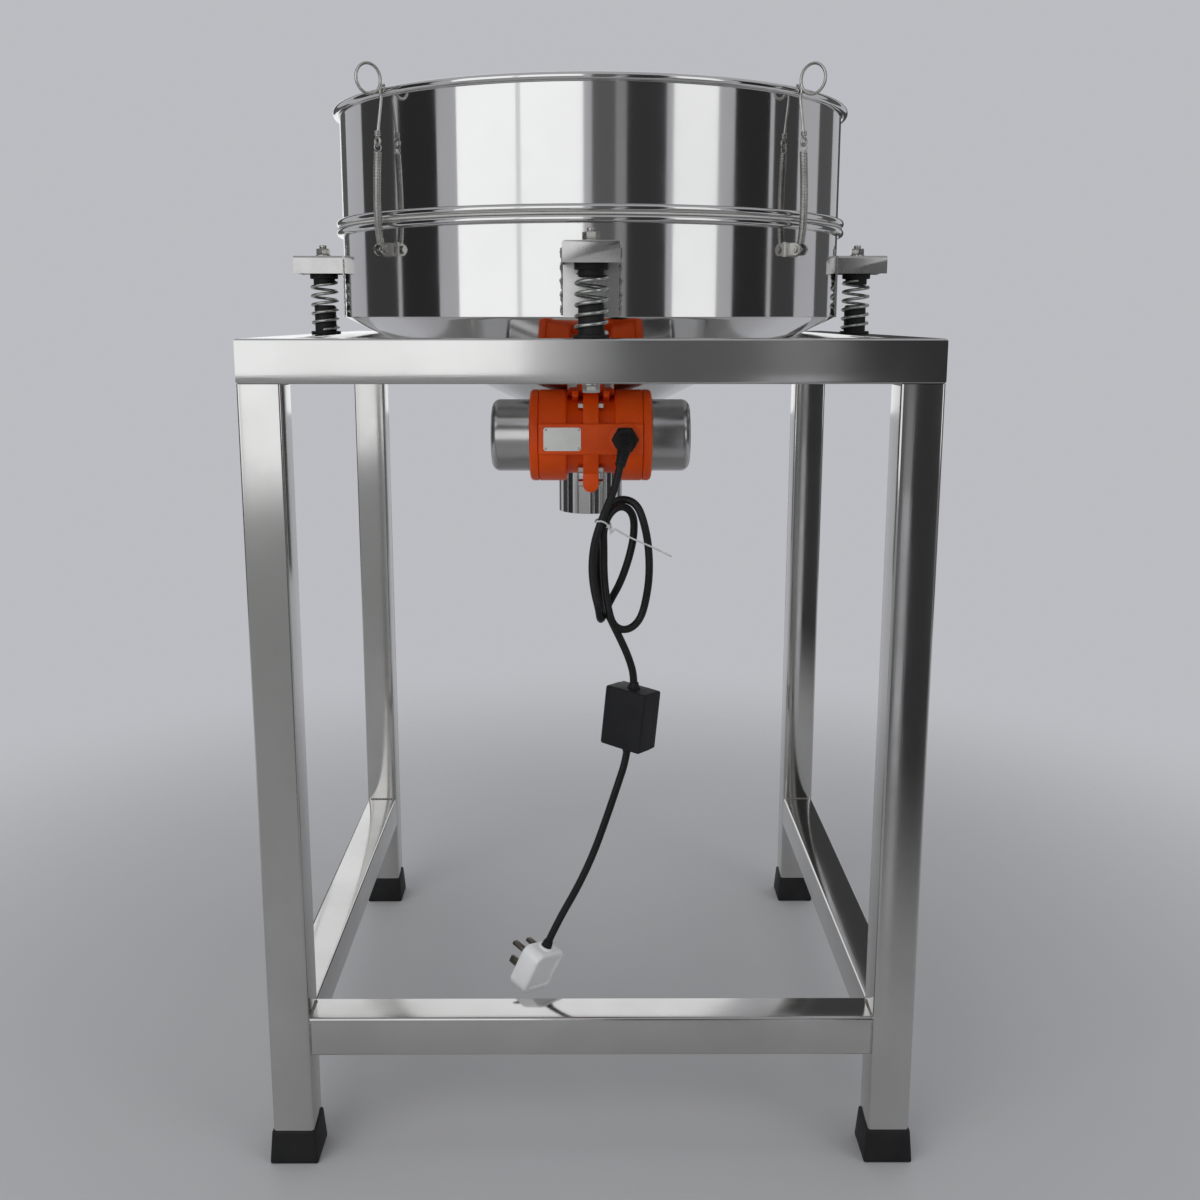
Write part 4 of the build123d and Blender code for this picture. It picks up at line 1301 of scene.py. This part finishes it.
@dataclass
class Motor:
    """Ribbed vibration motor hung by its foot from a saddle on the cone."""

    axis_y: float = -126.0
    axis_z: float = 673.64
    end: float = 50.0
    lobe: float = 44.5
    groove: float = 37.0
    groove_end: float = 23.0
    rib: float = 46.0
    rib_half: float = 7.5
    band_half: float = 14.75
    boss: float = 15.5
    boss_x: float = 32.5
    shield_end: float = 59.0
    shield_corner: float = 4.0
    cover: float = 35.0
    cover_end: float = 96.5
    cover_corner: float = 8.0
    slope: float = CONE_ANGLE
    foot: float = 40.5
    foot_half: float = 60.0
    foot_side: float = 22.5
    foot_thickness: float = 9.0
    tongue_drop: float = 53.0
    tongue_depth: float = 30.0
    label: Point = (-45, -9.4, 662.6, 684.8)
    boot_rings: int = 9
    boot_bend: float = 26.0
    boot_lean: float = 15.0
    boot_wide: float = 7.3
    boot_taper: float = 2.9

    def build(self) -> None:
        """Makes the motor's outside and dresses its inside."""
        self._housing()
        self._shields()
        self._covers()
        self._label()
        self._boot_rings()
        inside = {"motor_bearings": "bearing_steel", "stator": "lamination", "rotor_core": "lamination",
                  "rotor_shaft": "bearing_steel", "eccentric_weights": "cast_weight", "motor_bolts": "zinc",
                  "motor_saddle": "bracket_steel", "cable_gland": "black_rubber"}
        for node, finish in inside.items():
            FINISHES.dress_node(node, finish)

    def _along(self, outline: Sequence[tuple[float, float]], closed: bool = True) -> bmesh.types.BMesh:
        """Turns an outline of places along the shaft and radii about the shaft.

        Args:
            outline: Place along X and radius of each point.
            closed: Whether the outline closes.

        Returns:
            The turned mesh in its place.
        """
        mesh = Shop.spun([(radius, x) for x, radius in outline], 96, closed)
        return Shop.placed(mesh, turned_to(90, "Y"), (0, self.axis_y, self.axis_z))

    def _on_slope(self) -> Matrix:
        """Turn and shift that lay a shape along the cone at the shaft."""
        return Matrix.Translation((0, self.axis_y * MM, self.axis_z * MM)) @ turned_to(-self.slope, "X")

    def _housing(self) -> None:
        """Casting with two lobes, a rib, a front band, a boss and a foot."""
        inner = 33.0
        lobes = []
        for side in (-1, 1):
            outline = [(24.0, inner), (24.0, 40.0), (self.end, 40.0), (self.end, self.lobe - 0.8),
                       (self.end - 0.8, self.lobe)]
            outline += Shop.corner((self.groove_end + 3, self.lobe - 3), 3.0, 90, 180)
            outline += [(self.groove_end, self.groove + 2.5), (self.groove_end - 0.8, self.groove + 0.8),
                        (self.groove_end - 2.5, self.groove), (self.rib_half, self.groove),
                        (self.rib_half, inner)]
            lobes.append(self._along([(side * x, r) for x, r in outline]))
        half = self.rib_half
        rib = self._along([(-half, inner), (-half, self.rib - 1.6), (-half + 0.5, self.rib - 0.5),
                           (-half + 1.6, self.rib), (half - 1.6, self.rib), (half - 0.5, self.rib - 0.5),
                           (half, self.rib - 1.6), (half, inner)])
        place = self._on_slope()
        Shop.cut(rib, place @ Vector((0, 0, self.foot * MM)), place.to_3x3() @ Vector((0, 0, 1)))
        front = self.axis_y - self.rib
        band = Shop.bar((-self.end, front, self.axis_z - self.band_half),
                        (self.end, front + 12, self.axis_z + self.band_half), 1.6, 4)
        boss = Shop.spun([(0, 0), (self.boss - 1.2, 0), (self.boss - 0.35, -0.35), (self.boss, -1.2),
                          (self.boss, -9), (0, -9)], 48, closed=False)
        Shop.placed(boss, turned_to(90, "X"), (self.boss_x, front - 2.0, self.axis_z))
        low = self.axis_z - self.tongue_drop + half
        tongue = Shop.bar((-half, self.axis_y - self.tongue_depth, low - half), (half, self.axis_y, low + 16))
        bottom = [e for e in tongue.edges if max(v.co.z for v in e.verts) < (low - half + 1) * MM
                  and span(e, 1) > 0.01]
        Shop.bevelled(tongue, bottom, half - 0.05, 8)
        Shop.bevelled(tongue, Shop.sharp_edges(tongue, 60), 1.2, 3)
        foot = Shop.bar((-self.foot_side, -self.foot_half, self.foot - self.foot_thickness),
                        (self.foot_side, self.foot_half, self.foot), 2.0, 4)
        Shop.placed(foot, place)
        webs = []
        for x in (-15.0, 15.0):
            web = Shop.bar((x - 3, -40, 24), (x + 3, 40, self.foot - 4), 1.2, 3)
            webs.append(Shop.placed(web, place))
        whole = Shop.joined(*lobes, rib, band, boss, tongue, foot, *webs)
        Shop.piece("motor_casting", whole, "sieve_body", ["motor_paint"], ["motor_housing"])

    def _shields(self) -> None:
        """Painted end shields with their bearing seats."""
        both = []
        face, end, edge = self.end, self.shield_end, self.shield_corner
        for side in (-1, 1):
            outline = [(40.0, 16.0), (40.0, 20.0), (face, 20.0), (face, 35.9), (46.0, 35.9), (46.0, 39.9),
                       (face + 0.3, 39.9), (face + 0.3, self.lobe - 0.9), (face + 1.0, self.lobe)]
            outline += Shop.corner((end - edge, self.lobe - edge), edge, 90, 0)
            outline += [(end, 33.9), (end + 5, 33.9), (end + 5, 29.9), (end, 29.9), (end, 8.5), (face, 8.5),
                        (face, 16.0)]
            both.append(self._along([(side * x, r) for x, r in outline]))
        Shop.piece("shield_castings", Shop.joined(*both), "sieve_body", ["motor_paint"], ["end_shields"])

    def _covers(self) -> None:
        """Drawn steel covers over the weights."""
        end, radius, edge = self.cover_end, self.cover, self.cover_corner
        for name, side in (("left", -1), ("right", 1)):
            outline = [(end - 1, 0.0)]
            outline += Shop.corner((end - edge, radius - edge), edge - 1, 0, 90, 9)
            outline += [(self.shield_end, radius - 1), (self.shield_end, radius + 0.35),
                        (self.shield_end + 1.6, radius + 0.35), (self.shield_end + 2.4, radius)]
            outline += Shop.corner((end - edge, radius - edge), edge, 90, 0, 9)
            outline += [(end, 0.0)]
            mesh = self._along([(side * x, r) for x, r in outline], closed=False)
            Shop.piece("cover_shell_" + name, mesh, "sieve_body", ["cover_steel"], ["end_cover_" + name])

    def _label(self) -> None:
        """Bare plate on the front band, held by four rivets."""
        left, right, low, high = self.label
        front = self.axis_y - self.rib
        plate = Shop.bar((left, front - 0.7, low), (right, front - 0.05, high))
        upright = [e for e in plate.edges if span(e, 1) > 0.0004]
        Shop.bevelled(plate, upright, 2.6, 5)
        Shop.bevelled(plate, Shop.sharp_edges(plate, 60), 0.18, 2)
        dome = [(0, 1.2), (0.6, 1.15), (1.05, 0.9), (1.2, 0.65), (1.2, 0), (0, 0)]
        rivets = []
        for x in (left + 2.2, right - 2.2):
            for z in (low + 2.2, high - 2.2):
                head = Shop.spun(dome, 16, False)
                rivets.append(Shop.placed(head, turned_to(90, "X"), (x, front, z)))
        Shop.piece("label_plate", plate, "sieve_body", ["label_card"])
        Shop.piece("label_rivets", Shop.joined(*rivets), "sieve_body", ["bearing_steel"])

    def _boot_rings(self) -> None:
        """Moulded rings round the cord's bent strain relief."""
        face, bend, lean = self.axis_y - self.rib - 13, self.boot_bend, radians(self.boot_lean)
        rings = []
        for step in range(self.boot_rings):
            turn = radians(10 + 8.4 * step)
            drop = bend * (1 - cos(turn))
            place = Vector((self.boss_x - sin(lean) * drop, face - bend * sin(turn),
                            self.axis_z - cos(lean) * drop))
            way = Vector((-sin(lean) * sin(turn), -cos(turn), -cos(lean) * sin(turn)))
            one = Shop.ring(self.boot_wide - self.boot_taper * turn / radians(82), 0.75, 28, 8)
            rings.append(Shop.placed(one, way.to_track_quat("Z", "Y").to_matrix().to_4x4(), place))
        Shop.piece("boot_rings", Shop.joined(*rings), "sieve_body", ["black_rubber"])


@dataclass
class CordFittings:
    """In-line speed box, plug and the wire tie on the cord."""

    box: Point = (45.0, 30.0, 58.0)
    box_place: Point = (38.0, -209.0, 411.0)
    box_turn: float = -36.0
    box_lean: float = 5.5
    plug: Point = (22.0, 44.0, 44.0)
    plug_place: Point = (-41.7, -211.0, 180.7)
    plug_turn: float = -38.0
    plug_lean: float = 24.0
    grip: float = 8.0
    pin: Point = (18.0, 6.4, 4.0)
    pin_spread: float = 11.0
    earth_rise: float = 11.0
    tie_wire: float = 0.85

    def build(self) -> list[bpy.types.Object]:
        """Makes the pieces.

        Returns:
            The box, the tie and the plug.
        """
        return [self._speed_box(), self._tie(), self._plug_body()]

    @staticmethod
    def _leaning(place: Point, lean: float, turn: float) -> Matrix:
        """Transform of a piece that hangs leaning and turned.

        Args:
            place: Its place in millimetres.
            lean: Lean about Y in degrees.
            turn: Turn about its own height in degrees.

        Returns:
            The transform.
        """
        return Matrix.Translation([v * MM for v in place]) @ turned_to(lean, "Y") @ turned_to(turn)

    def _speed_box(self) -> bpy.types.Object:
        """Two plastic shells with a seam, screws in the lid and a sleeve at each cord entry.

        Returns:
            The box.
        """
        wide, deep, tall = (value / 2 for value in self.box)
        seam = deep - 9.0
        shell = Shop.bar((-wide, -deep, -tall), (wide, seam - 0.35, tall))
        lid = Shop.bar((-wide + 0.25, seam + 0.35, -tall + 0.25), (wide - 0.25, deep, tall - 0.25))
        for half, y in ((shell, -deep), (lid, deep)):
            outer = [e for e in half.edges if span(e, 1) > 0.001
                     or abs(sum(v.co.y for v in e.verts) / 2 - y * MM) < 1e-4]
            Shop.bevelled(half, outer, 2.4, 5)
        core = Shop.bar((-wide + 1.2, seam - 3, -tall + 1.2), (wide - 1.2, seam + 3, tall - 1.2), 1.0, 2)
        sunk = [f for f in lid.faces if f.normal.y > 0.99]
        bmesh.ops.inset_region(lid, faces=sunk, thickness=0.0016, depth=-0.0005, use_even_offset=True)
        pieces = [shell, lid, core]
        screw = [(0, 0.2), (1.1, 0.2), (1.3, 0.5), (2.0, 0.5), (2.3, 0.2), (2.3, -0.6), (0, -0.6)]
        for x in (-wide + 6.5, wide - 6.5):
            for z in (-tall + 6.5, tall - 6.5):
                cup = Shop.spun(screw, 20, False)
                pieces.append(Shop.placed(cup, turned_to(-90, "X"), (x, deep - 0.5, z)))
        entry = [(0, -1), (6.2, -1), (6.2, 0.9), (5.7, 1.5), (5.2, 1.5), (4.9, 3.2), (4.6, 3.5), (4.3, 5.6),
                 (3.9, 5.8), (0, 5.8)]
        for side, turn in ((-1, 180), (1, 0)):
            sleeve = Shop.spun(entry, 32, False)
            pieces.append(Shop.placed(sleeve, turned_to(turn, "X"), (0, 0, side * tall)))
        place = self._leaning(self.box_place, self.box_lean, self.box_turn)
        whole = Shop.placed(Shop.joined(*pieces), place)
        return Shop.piece("speed_box_shells", whole, "sieve_body", ["box_plastic"], ["speed_box"])

    def _plug_body(self) -> bpy.types.Object:
        """Rounded square plug with a sleeve for the cord and three pins.

        Returns:
            The plug.
        """
        thick, wide, tall = self.plug
        grip = self.grip
        body = Shop.bar((-thick / 2, -wide / 2, -grip - tall), (thick / 2, wide / 2, -grip))
        corners = [e for e in body.edges if span(e, 0) > 0.001]
        Shop.bevelled(body, corners, 9.0, 8)
        Shop.bevelled(body, Shop.sharp_edges(body, 60), 2.6, 4)
        for way in (-1, 1):
            face = [f for f in body.faces if f.normal.x * way > 0.999]
            bmesh.ops.inset_region(body, faces=face, thickness=0.0030, depth=0.0, use_even_offset=True)
            bmesh.ops.inset_region(body, faces=face, thickness=0.0012, depth=-0.0013, use_even_offset=True)
        collar = Shop.spun([(0, -0.6), (7.6, -0.6), (7.6, 0.6), (6.9, 1.4), (6.0, 1.8), (0, 1.8)], 32, False)
        Shop.placed(collar, shift=(0, 0, -grip))
        place = self._leaning(self.plug_place, self.plug_lean, self.plug_turn)
        white = Shop.placed(Shop.joined(body, collar), place)
        plug = Shop.piece("plug_shell", white, "sieve_body", ["plug_plastic"], ["plug"])
        sleeve = Shop.spun([(0, -grip), (5.4, -grip), (5.4, -5.6), (4.7, -5.2), (4.7, -4.4), (5.1, -4.1),
                            (5.1, -2.6), (4.5, -2.2), (4.5, -1.2), (4.6, -0.9), (4.4, 0), (0, 0)], 32, False)
        Shop.piece("plug_sleeve", Shop.placed(sleeve, place), "sieve_body", ["black_rubber"])
        level = -grip - tall / 2
        length, breadth, height = self.pin
        start = -thick / 2 + 0.5
        pins = []
        for side in (-1, 1):
            y, z = side * self.pin_spread, level + self.earth_rise
            pins.append(Shop.bar((start - length, y - breadth / 2, z - height / 2),
                                 (start, y + breadth / 2, z + height / 2), 0.7, 3))
        z = level - self.earth_rise
        pins.append(Shop.bar((start - length - 2, -height / 2, z - breadth / 2 - 0.5),
                             (start, height / 2, z + breadth / 2 + 0.5), 0.7, 3))
        Shop.piece("plug_pins", Shop.placed(Shop.joined(*pins), place), "sieve_body", ["pin_brass"])
        return plug

    def _tie(self) -> bpy.types.Object:
        """Thin wire tie round the left limb of the hank, with a long and a short tail.

        Returns:
            The tie.
        """
        loop = ((3.6, -227.0, 602.2), (5.0, -231.6, 603.8), (8.8, -233.0, 604.8), (12.8, -232.0, 603.2),
                (16.4, -228.0, 599.6), (18.3, -221.5, 598.4), (17.8, -210.0, 599.0), (16.2, -199.4, 600.0),
                (11.4, -196.2, 601.0), (6.6, -199.2, 601.6), (4.2, -212.0, 602.0))
        round_limb = Shop.wire(loop, self.tie_wire, closed=True, sides=2)
        long_tail = Shop.wire(((15.4, -229.6, 600.6), (17.0, -230.8, 596.8), (18.6, -231.4, 594.2),
                               (20.2, -231.2, 595.0), (21.0, -230.8, 597.0), (23.6, -230.8, 596.2),
                               (30.0, -231.0, 592.2), (39.0, -231.0, 587.6), (54.0, -230.6, 581.2),
                               (66.0, -229.6, 575.2), (74.3, -229.0, 571.0)), self.tie_wire, sides=2)
        short_tail = Shop.wire(((14.8, -231.4, 601.0), (17.4, -231.6, 597.6), (18.6, -232.4, 594.8),
                                (17.6, -232.4, 592.6)), self.tie_wire, sides=2)
        twist = Shop.placed(Shop.coil(1.2, 0.75, 4.5, 2.0, 0.0, 8, 16), turned_to(125, "Y"),
                            (15.4, -230.4, 599.6))
        whole = Shop.joined(round_limb, long_tail, short_tail, twist)
        return Shop.piece("tie_loop", whole, "sieve_body", ["tie_skin"], ["twist_tie"], crease=60.0)


@dataclass
class Cordage:
    """Cord of two lengths, the upper with a hank in it."""

    diameter: float = 7.2
    upper: Sequence[Point] = (
        (26.7, -210.7, 651.9), (23.5, -214.5, 637), (17.3, -221.5, 621.9), (9.4, -228.5, 604.3),
        (2.8, -226, 582.9), (0.6, -225.4, 559.9), (2.8, -227.1, 538.5), (7, -229.6, 522.5),
        (8.4, -223.3, 511.4), (9.7, -211.4, 507.1), (13, -199.7, 511.5), (19.2, -193.9, 523),
        (27.8, -199, 540.1), (35.3, -201.6, 562.1), (40.7, -199.1, 585.3), (40.3, -199.5, 605.7),
        (30.6, -208.9, 615.9), (18.6, -218.9, 612.6), (11.2, -223.2, 597.1), (11.9, -216.9, 576.3),
        (11.9, -216.6, 555.1), (13.4, -218.2, 535.7), (16.4, -223.5, 518.7), (20, -223.2, 506.1),
        (28, -218.4, 498.8), (38.1, -212.2, 498.9), (46.9, -207.2, 506.9), (51.7, -206.9, 523.2),
        (54.9, -211.6, 548.8), (54, -212.3, 576.6), (49.5, -213.4, 600.2), (42.7, -209.3, 617.7),
        (28.1, -202.6, 622), (14.5, -198.4, 612.1), (9.2, -204, 589.3), (5.7, -206, 565.3),
        (6.1, -208.1, 542.9), (11.8, -210.2, 522.3), (20, -211.1, 504.3), (28.4, -209.8, 487.1),
        (36.3, -209.9, 468.9), (41, -209.8, 452), (40.8, -209, 439.9))
    lower: Sequence[Point] = (
        (35.2, -209, 382.1), (33.9, -209, 368.1), (25.5, -211, 342), (14.5, -212, 308), (2, -213, 272),
        (-13, -212.5, 238), (-32, -211, 202.5), (-41.7, -211, 180.7))

    def build(self) -> None:
        box, tie, plug = CordFittings().build()
        first = self._line("cord_run_upper", self.upper, ["cord_upper", "cord_hank", "cord_middle"])
        second = self._line("cord_run_lower", self.lower, ["cord_lower"])

    @staticmethod
    def _metres(point: Point) -> tuple[float, ...]:
        """A point in metres."""
        return tuple(value * MM for value in point)

    def _line(self, name: str, points: Sequence[Point], nodes: Sequence[str]) -> bpy.types.Object:
        """Makes a length of cord as a smooth curve.

        Args:
            name: Name of the piece.
            points: Control points in millimetres.
            nodes: Nodes that it replaces.

        Returns:
            The curve's object.
        """
        made = linked(name, Shop.line(name, points, self.diameter / 2, sides=5, steps=10))
        FINISHES.give(made, "cord_jacket")
        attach(made, "sieve_body")
        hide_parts(*nodes)
        return made


@dataclass(frozen=True)
class Card:
    """Upright card of the studio that only reflections show.

    Attributes:
        name: Name of the card.
        start: Angle of its first edge, in degrees from the front towards the right.
        end: Angle of its last edge.
        shade: Strength of its light.
        low: Height of its lower edge, in metres.
        high: Height of its upper edge.
        away: Distance from the drum's axis.
    """

    name: str
    start: float
    end: float
    shade: float
    low: float = 0.0
    high: float = 2.6
    away: float = 2.6

    def build(self) -> None:
        """Stands the card on its arc round the object."""
        mesh = bmesh.new()
        angle = radians(self.start)
        foot = Vector((sin(angle) * self.away, -cos(angle) * self.away, 0.0))
        ends = [mesh.verts.new((foot.x, foot.y, height)) for height in (self.low, self.high)]
        bmesh.ops.spin(mesh, geom=ends + [mesh.edges.new(ends)], cent=(0, 0, 0), axis=(0, 0, 1),
                       dvec=(0, 0, 0), angle=radians(self.end - self.start), steps=12,
                       use_merge=False, use_duplicate=False)
        data = Shop.data_of(self.name, mesh)
        paint = bpy.data.materials.new(self.name)
        paint.use_nodes = True
        nodes, links = paint.node_tree.nodes, paint.node_tree.links
        glow = nodes.new("ShaderNodeEmission")
        glow.inputs["Color"].default_value = (0.97, 0.98, 1.0, 1.0)
        glow.inputs["Strength"].default_value = self.shade
        links.new(glow.outputs["Emission"], nodes["Material Output"].inputs["Surface"])
        data.materials.append(paint)
        card = linked(self.name, data)
        card.visible_camera = False
        card.visible_diffuse = False
        card.visible_shadow = False
        card.visible_transmission = False


@dataclass
class Studio:
    """Floor, lamps, world and camera."""

    lens: float = 39.02
    place: Point = (-3.51, -1406.98, 788.46)
    pitch: float = 10.859
    yaw: float = 0.192
    shift_x: float = 0.0071
    shift_y: float = -0.0286
    floor_radius: float = 2.4
    floor_colour: Point = (0.52, 0.515, 0.51)
    fade_start: float = 0.55
    fade_end: float = 1.5
    backdrop: Point = (0.50, 0.505, 0.535)
    skylight: Point = (0.9, 0.93, 1.0)

    def build(self) -> None:
        """Sets the stage."""
        self._camera()
        self._floor()
        self._lamps()
        self._world()
        bpy.context.scene.view_settings.view_transform = "Standard"

    def _camera(self) -> None:
        """Camera at the photograph's place."""
        data = bpy.data.cameras.new("camera")
        data.lens = self.lens
        data.sensor_width = 36.0
        data.sensor_fit = "HORIZONTAL"
        data.shift_x = self.shift_x
        data.shift_y = self.shift_y
        data.clip_start = 0.01
        holder = linked("camera", data)
        holder.location = [value * MM for value in self.place]
        holder.rotation_euler = (radians(90 - self.pitch), 0.0, radians(-self.yaw))
        bpy.context.scene.camera = holder

    def _floor(self) -> None:
        """Pale floor that fades into the surroundings away from the object."""
        mesh = bmesh.new()
        bmesh.ops.create_circle(mesh, cap_ends=True, segments=96, radius=self.floor_radius)
        data = Shop.data_of("floor", mesh)
        paint = bpy.data.materials.new("floor_paint")
        paint.use_nodes = True
        nodes, links = paint.node_tree.nodes, paint.node_tree.links
        shader = nodes["Principled BSDF"]
        shader.inputs["Base Color"].default_value = (*self.floor_colour, 1.0)
        shader.inputs["Roughness"].default_value = 0.6
        shader.inputs["Specular IOR Level"].default_value = 0.12
        place = nodes.new("ShaderNodeTexCoord")
        reach = nodes.new("ShaderNodeVectorMath")
        reach.operation = "LENGTH"
        fade = nodes.new("ShaderNodeMapRange")
        fade.interpolation_type = "SMOOTHSTEP"
        fade.inputs["From Min"].default_value = self.fade_start
        fade.inputs["From Max"].default_value = self.fade_end
        clear = nodes.new("ShaderNodeBsdfTransparent")
        mixed = nodes.new("ShaderNodeMixShader")
        links.new(place.outputs["Object"], reach.inputs[0])
        links.new(reach.outputs["Value"], fade.inputs["Value"])
        links.new(fade.outputs["Result"], mixed.inputs["Fac"])
        links.new(shader.outputs["BSDF"], mixed.inputs[1])
        links.new(clear.outputs["BSDF"], mixed.inputs[2])
        links.new(mixed.outputs["Shader"], nodes["Material Output"].inputs["Surface"])
        data.materials.append(paint)
        floor = linked("floor", data)

    def _lamp(self, name: str, place: Point, size: tuple[float, float], power: float) -> None:
        """Adds a soft rectangular lamp that looks at the machine and shows in no reflection.

        Args:
            name: Name of the lamp.
            place: Where it stands, in metres.
            size: Its width and height.
            power: Its power in watts.
        """
        data = bpy.data.lights.new(name, "AREA")
        data.shape = "RECTANGLE"
        data.size, data.size_y = size
        data.energy = power
        holder = linked(name, data)
        holder.location = place
        aim = Vector((0.0, 0.0, 0.6)) - Vector(place)
        holder.rotation_euler = aim.to_track_quat("-Z", "Y").to_euler()
        holder.visible_glossy = False

    def _lamps(self) -> None:
        """Soft lamps for the light, and cards for the reflections in the polished steel."""
        self._lamp("key", (-1.8, -2.6, 1.9), (2.4, 2.0), 30.0)
        self._lamp("fill", (2.2, -2.0, 1.4), (1.2, 1.8), 9.0)
        self._lamp("overhead", (0.0, 0.4, 3.4), (2.4, 2.4), 14.0)
        for card in (Card("window_wide", -57.0, -3.0, shade=1.35, low=0.34),
                     Card("frame_bar", -30.5, -28.5, shade=0.9, low=0.34, away=2.5),
                     Card("sill_left", -60.0, -3.0, shade=0.34, low=-2.5, high=0.33),
                     Card("gap_narrow", 0.5, 10.0, shade=0.13, low=-2.5),
                     Card("gap_light", 10.0, 14.5, shade=0.30, low=0.34),
                     Card("gap_dark", 14.5, 31.0, shade=0.045, low=-2.5),
                     Card("window_narrow", 34.0, 54.0, shade=1.25, low=0.45),
                     Card("sill_right", 33.0, 60.0, shade=0.22, low=-2.5, high=0.44),
                     Card("side_dark_right", 62.0, 81.0, shade=0.03),
                     Card("side_far_right", 83.5, 100.0, shade=0.06),
                     Card("side_dark_left", -89.0, -67.0, shade=0.03),
                     Card("side_far_left", -118.0, -91.5, shade=0.055),
                     Card("rear_dark_left", -158.0, -140.0, shade=0.10),
                     Card("rear_window", 170.0, 206.0, shade=1.1, low=0.5),
                     Card("rear_dark", 150.0, 166.0, shade=0.06),
                     Card("rear_dark_right", 118.0, 136.0, shade=0.10)):
            card.build()

    def _world(self) -> None:
        """Even pale surroundings."""
        world = bpy.data.worlds.new("world")
        world.use_nodes = True
        nodes, links = world.node_tree.nodes, world.node_tree.links
        shown = nodes["Background"]
        shown.inputs["Color"].default_value = (*self.backdrop, 1.0)
        shown.inputs["Strength"].default_value = 1.0
        light = nodes.new("ShaderNodeBackground")
        light.inputs["Color"].default_value = (*self.skylight, 1.0)
        light.inputs["Strength"].default_value = 0.5
        ray = nodes.new("ShaderNodeLightPath")
        either = nodes.new("ShaderNodeMath")
        either.operation = "MAXIMUM"
        mixed = nodes.new("ShaderNodeMixShader")
        links.new(ray.outputs["Is Camera Ray"], either.inputs[0])
        links.new(ray.outputs["Is Glossy Ray"], either.inputs[1])
        links.new(either.outputs["Value"], mixed.inputs["Fac"])
        links.new(light.outputs["Background"], mixed.inputs[1])
        links.new(shown.outputs["Background"], mixed.inputs[2])
        links.new(mixed.outputs["Shader"], nodes["World Output"].inputs["Surface"])
        bpy.context.scene.world = world


def main() -> None:
    """Builds the machine and its stage."""
    logging.basicConfig(level=logging.INFO, format="%(message)s")
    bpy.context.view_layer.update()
    for section in (Studio(), Cordage(), Stand(), Isolators(), Drum(), Screen(), Latches(), Motor()):
        LOG.info("making %s", type(section).__name__)
        section.build()


if __name__ == "__main__":
    main()
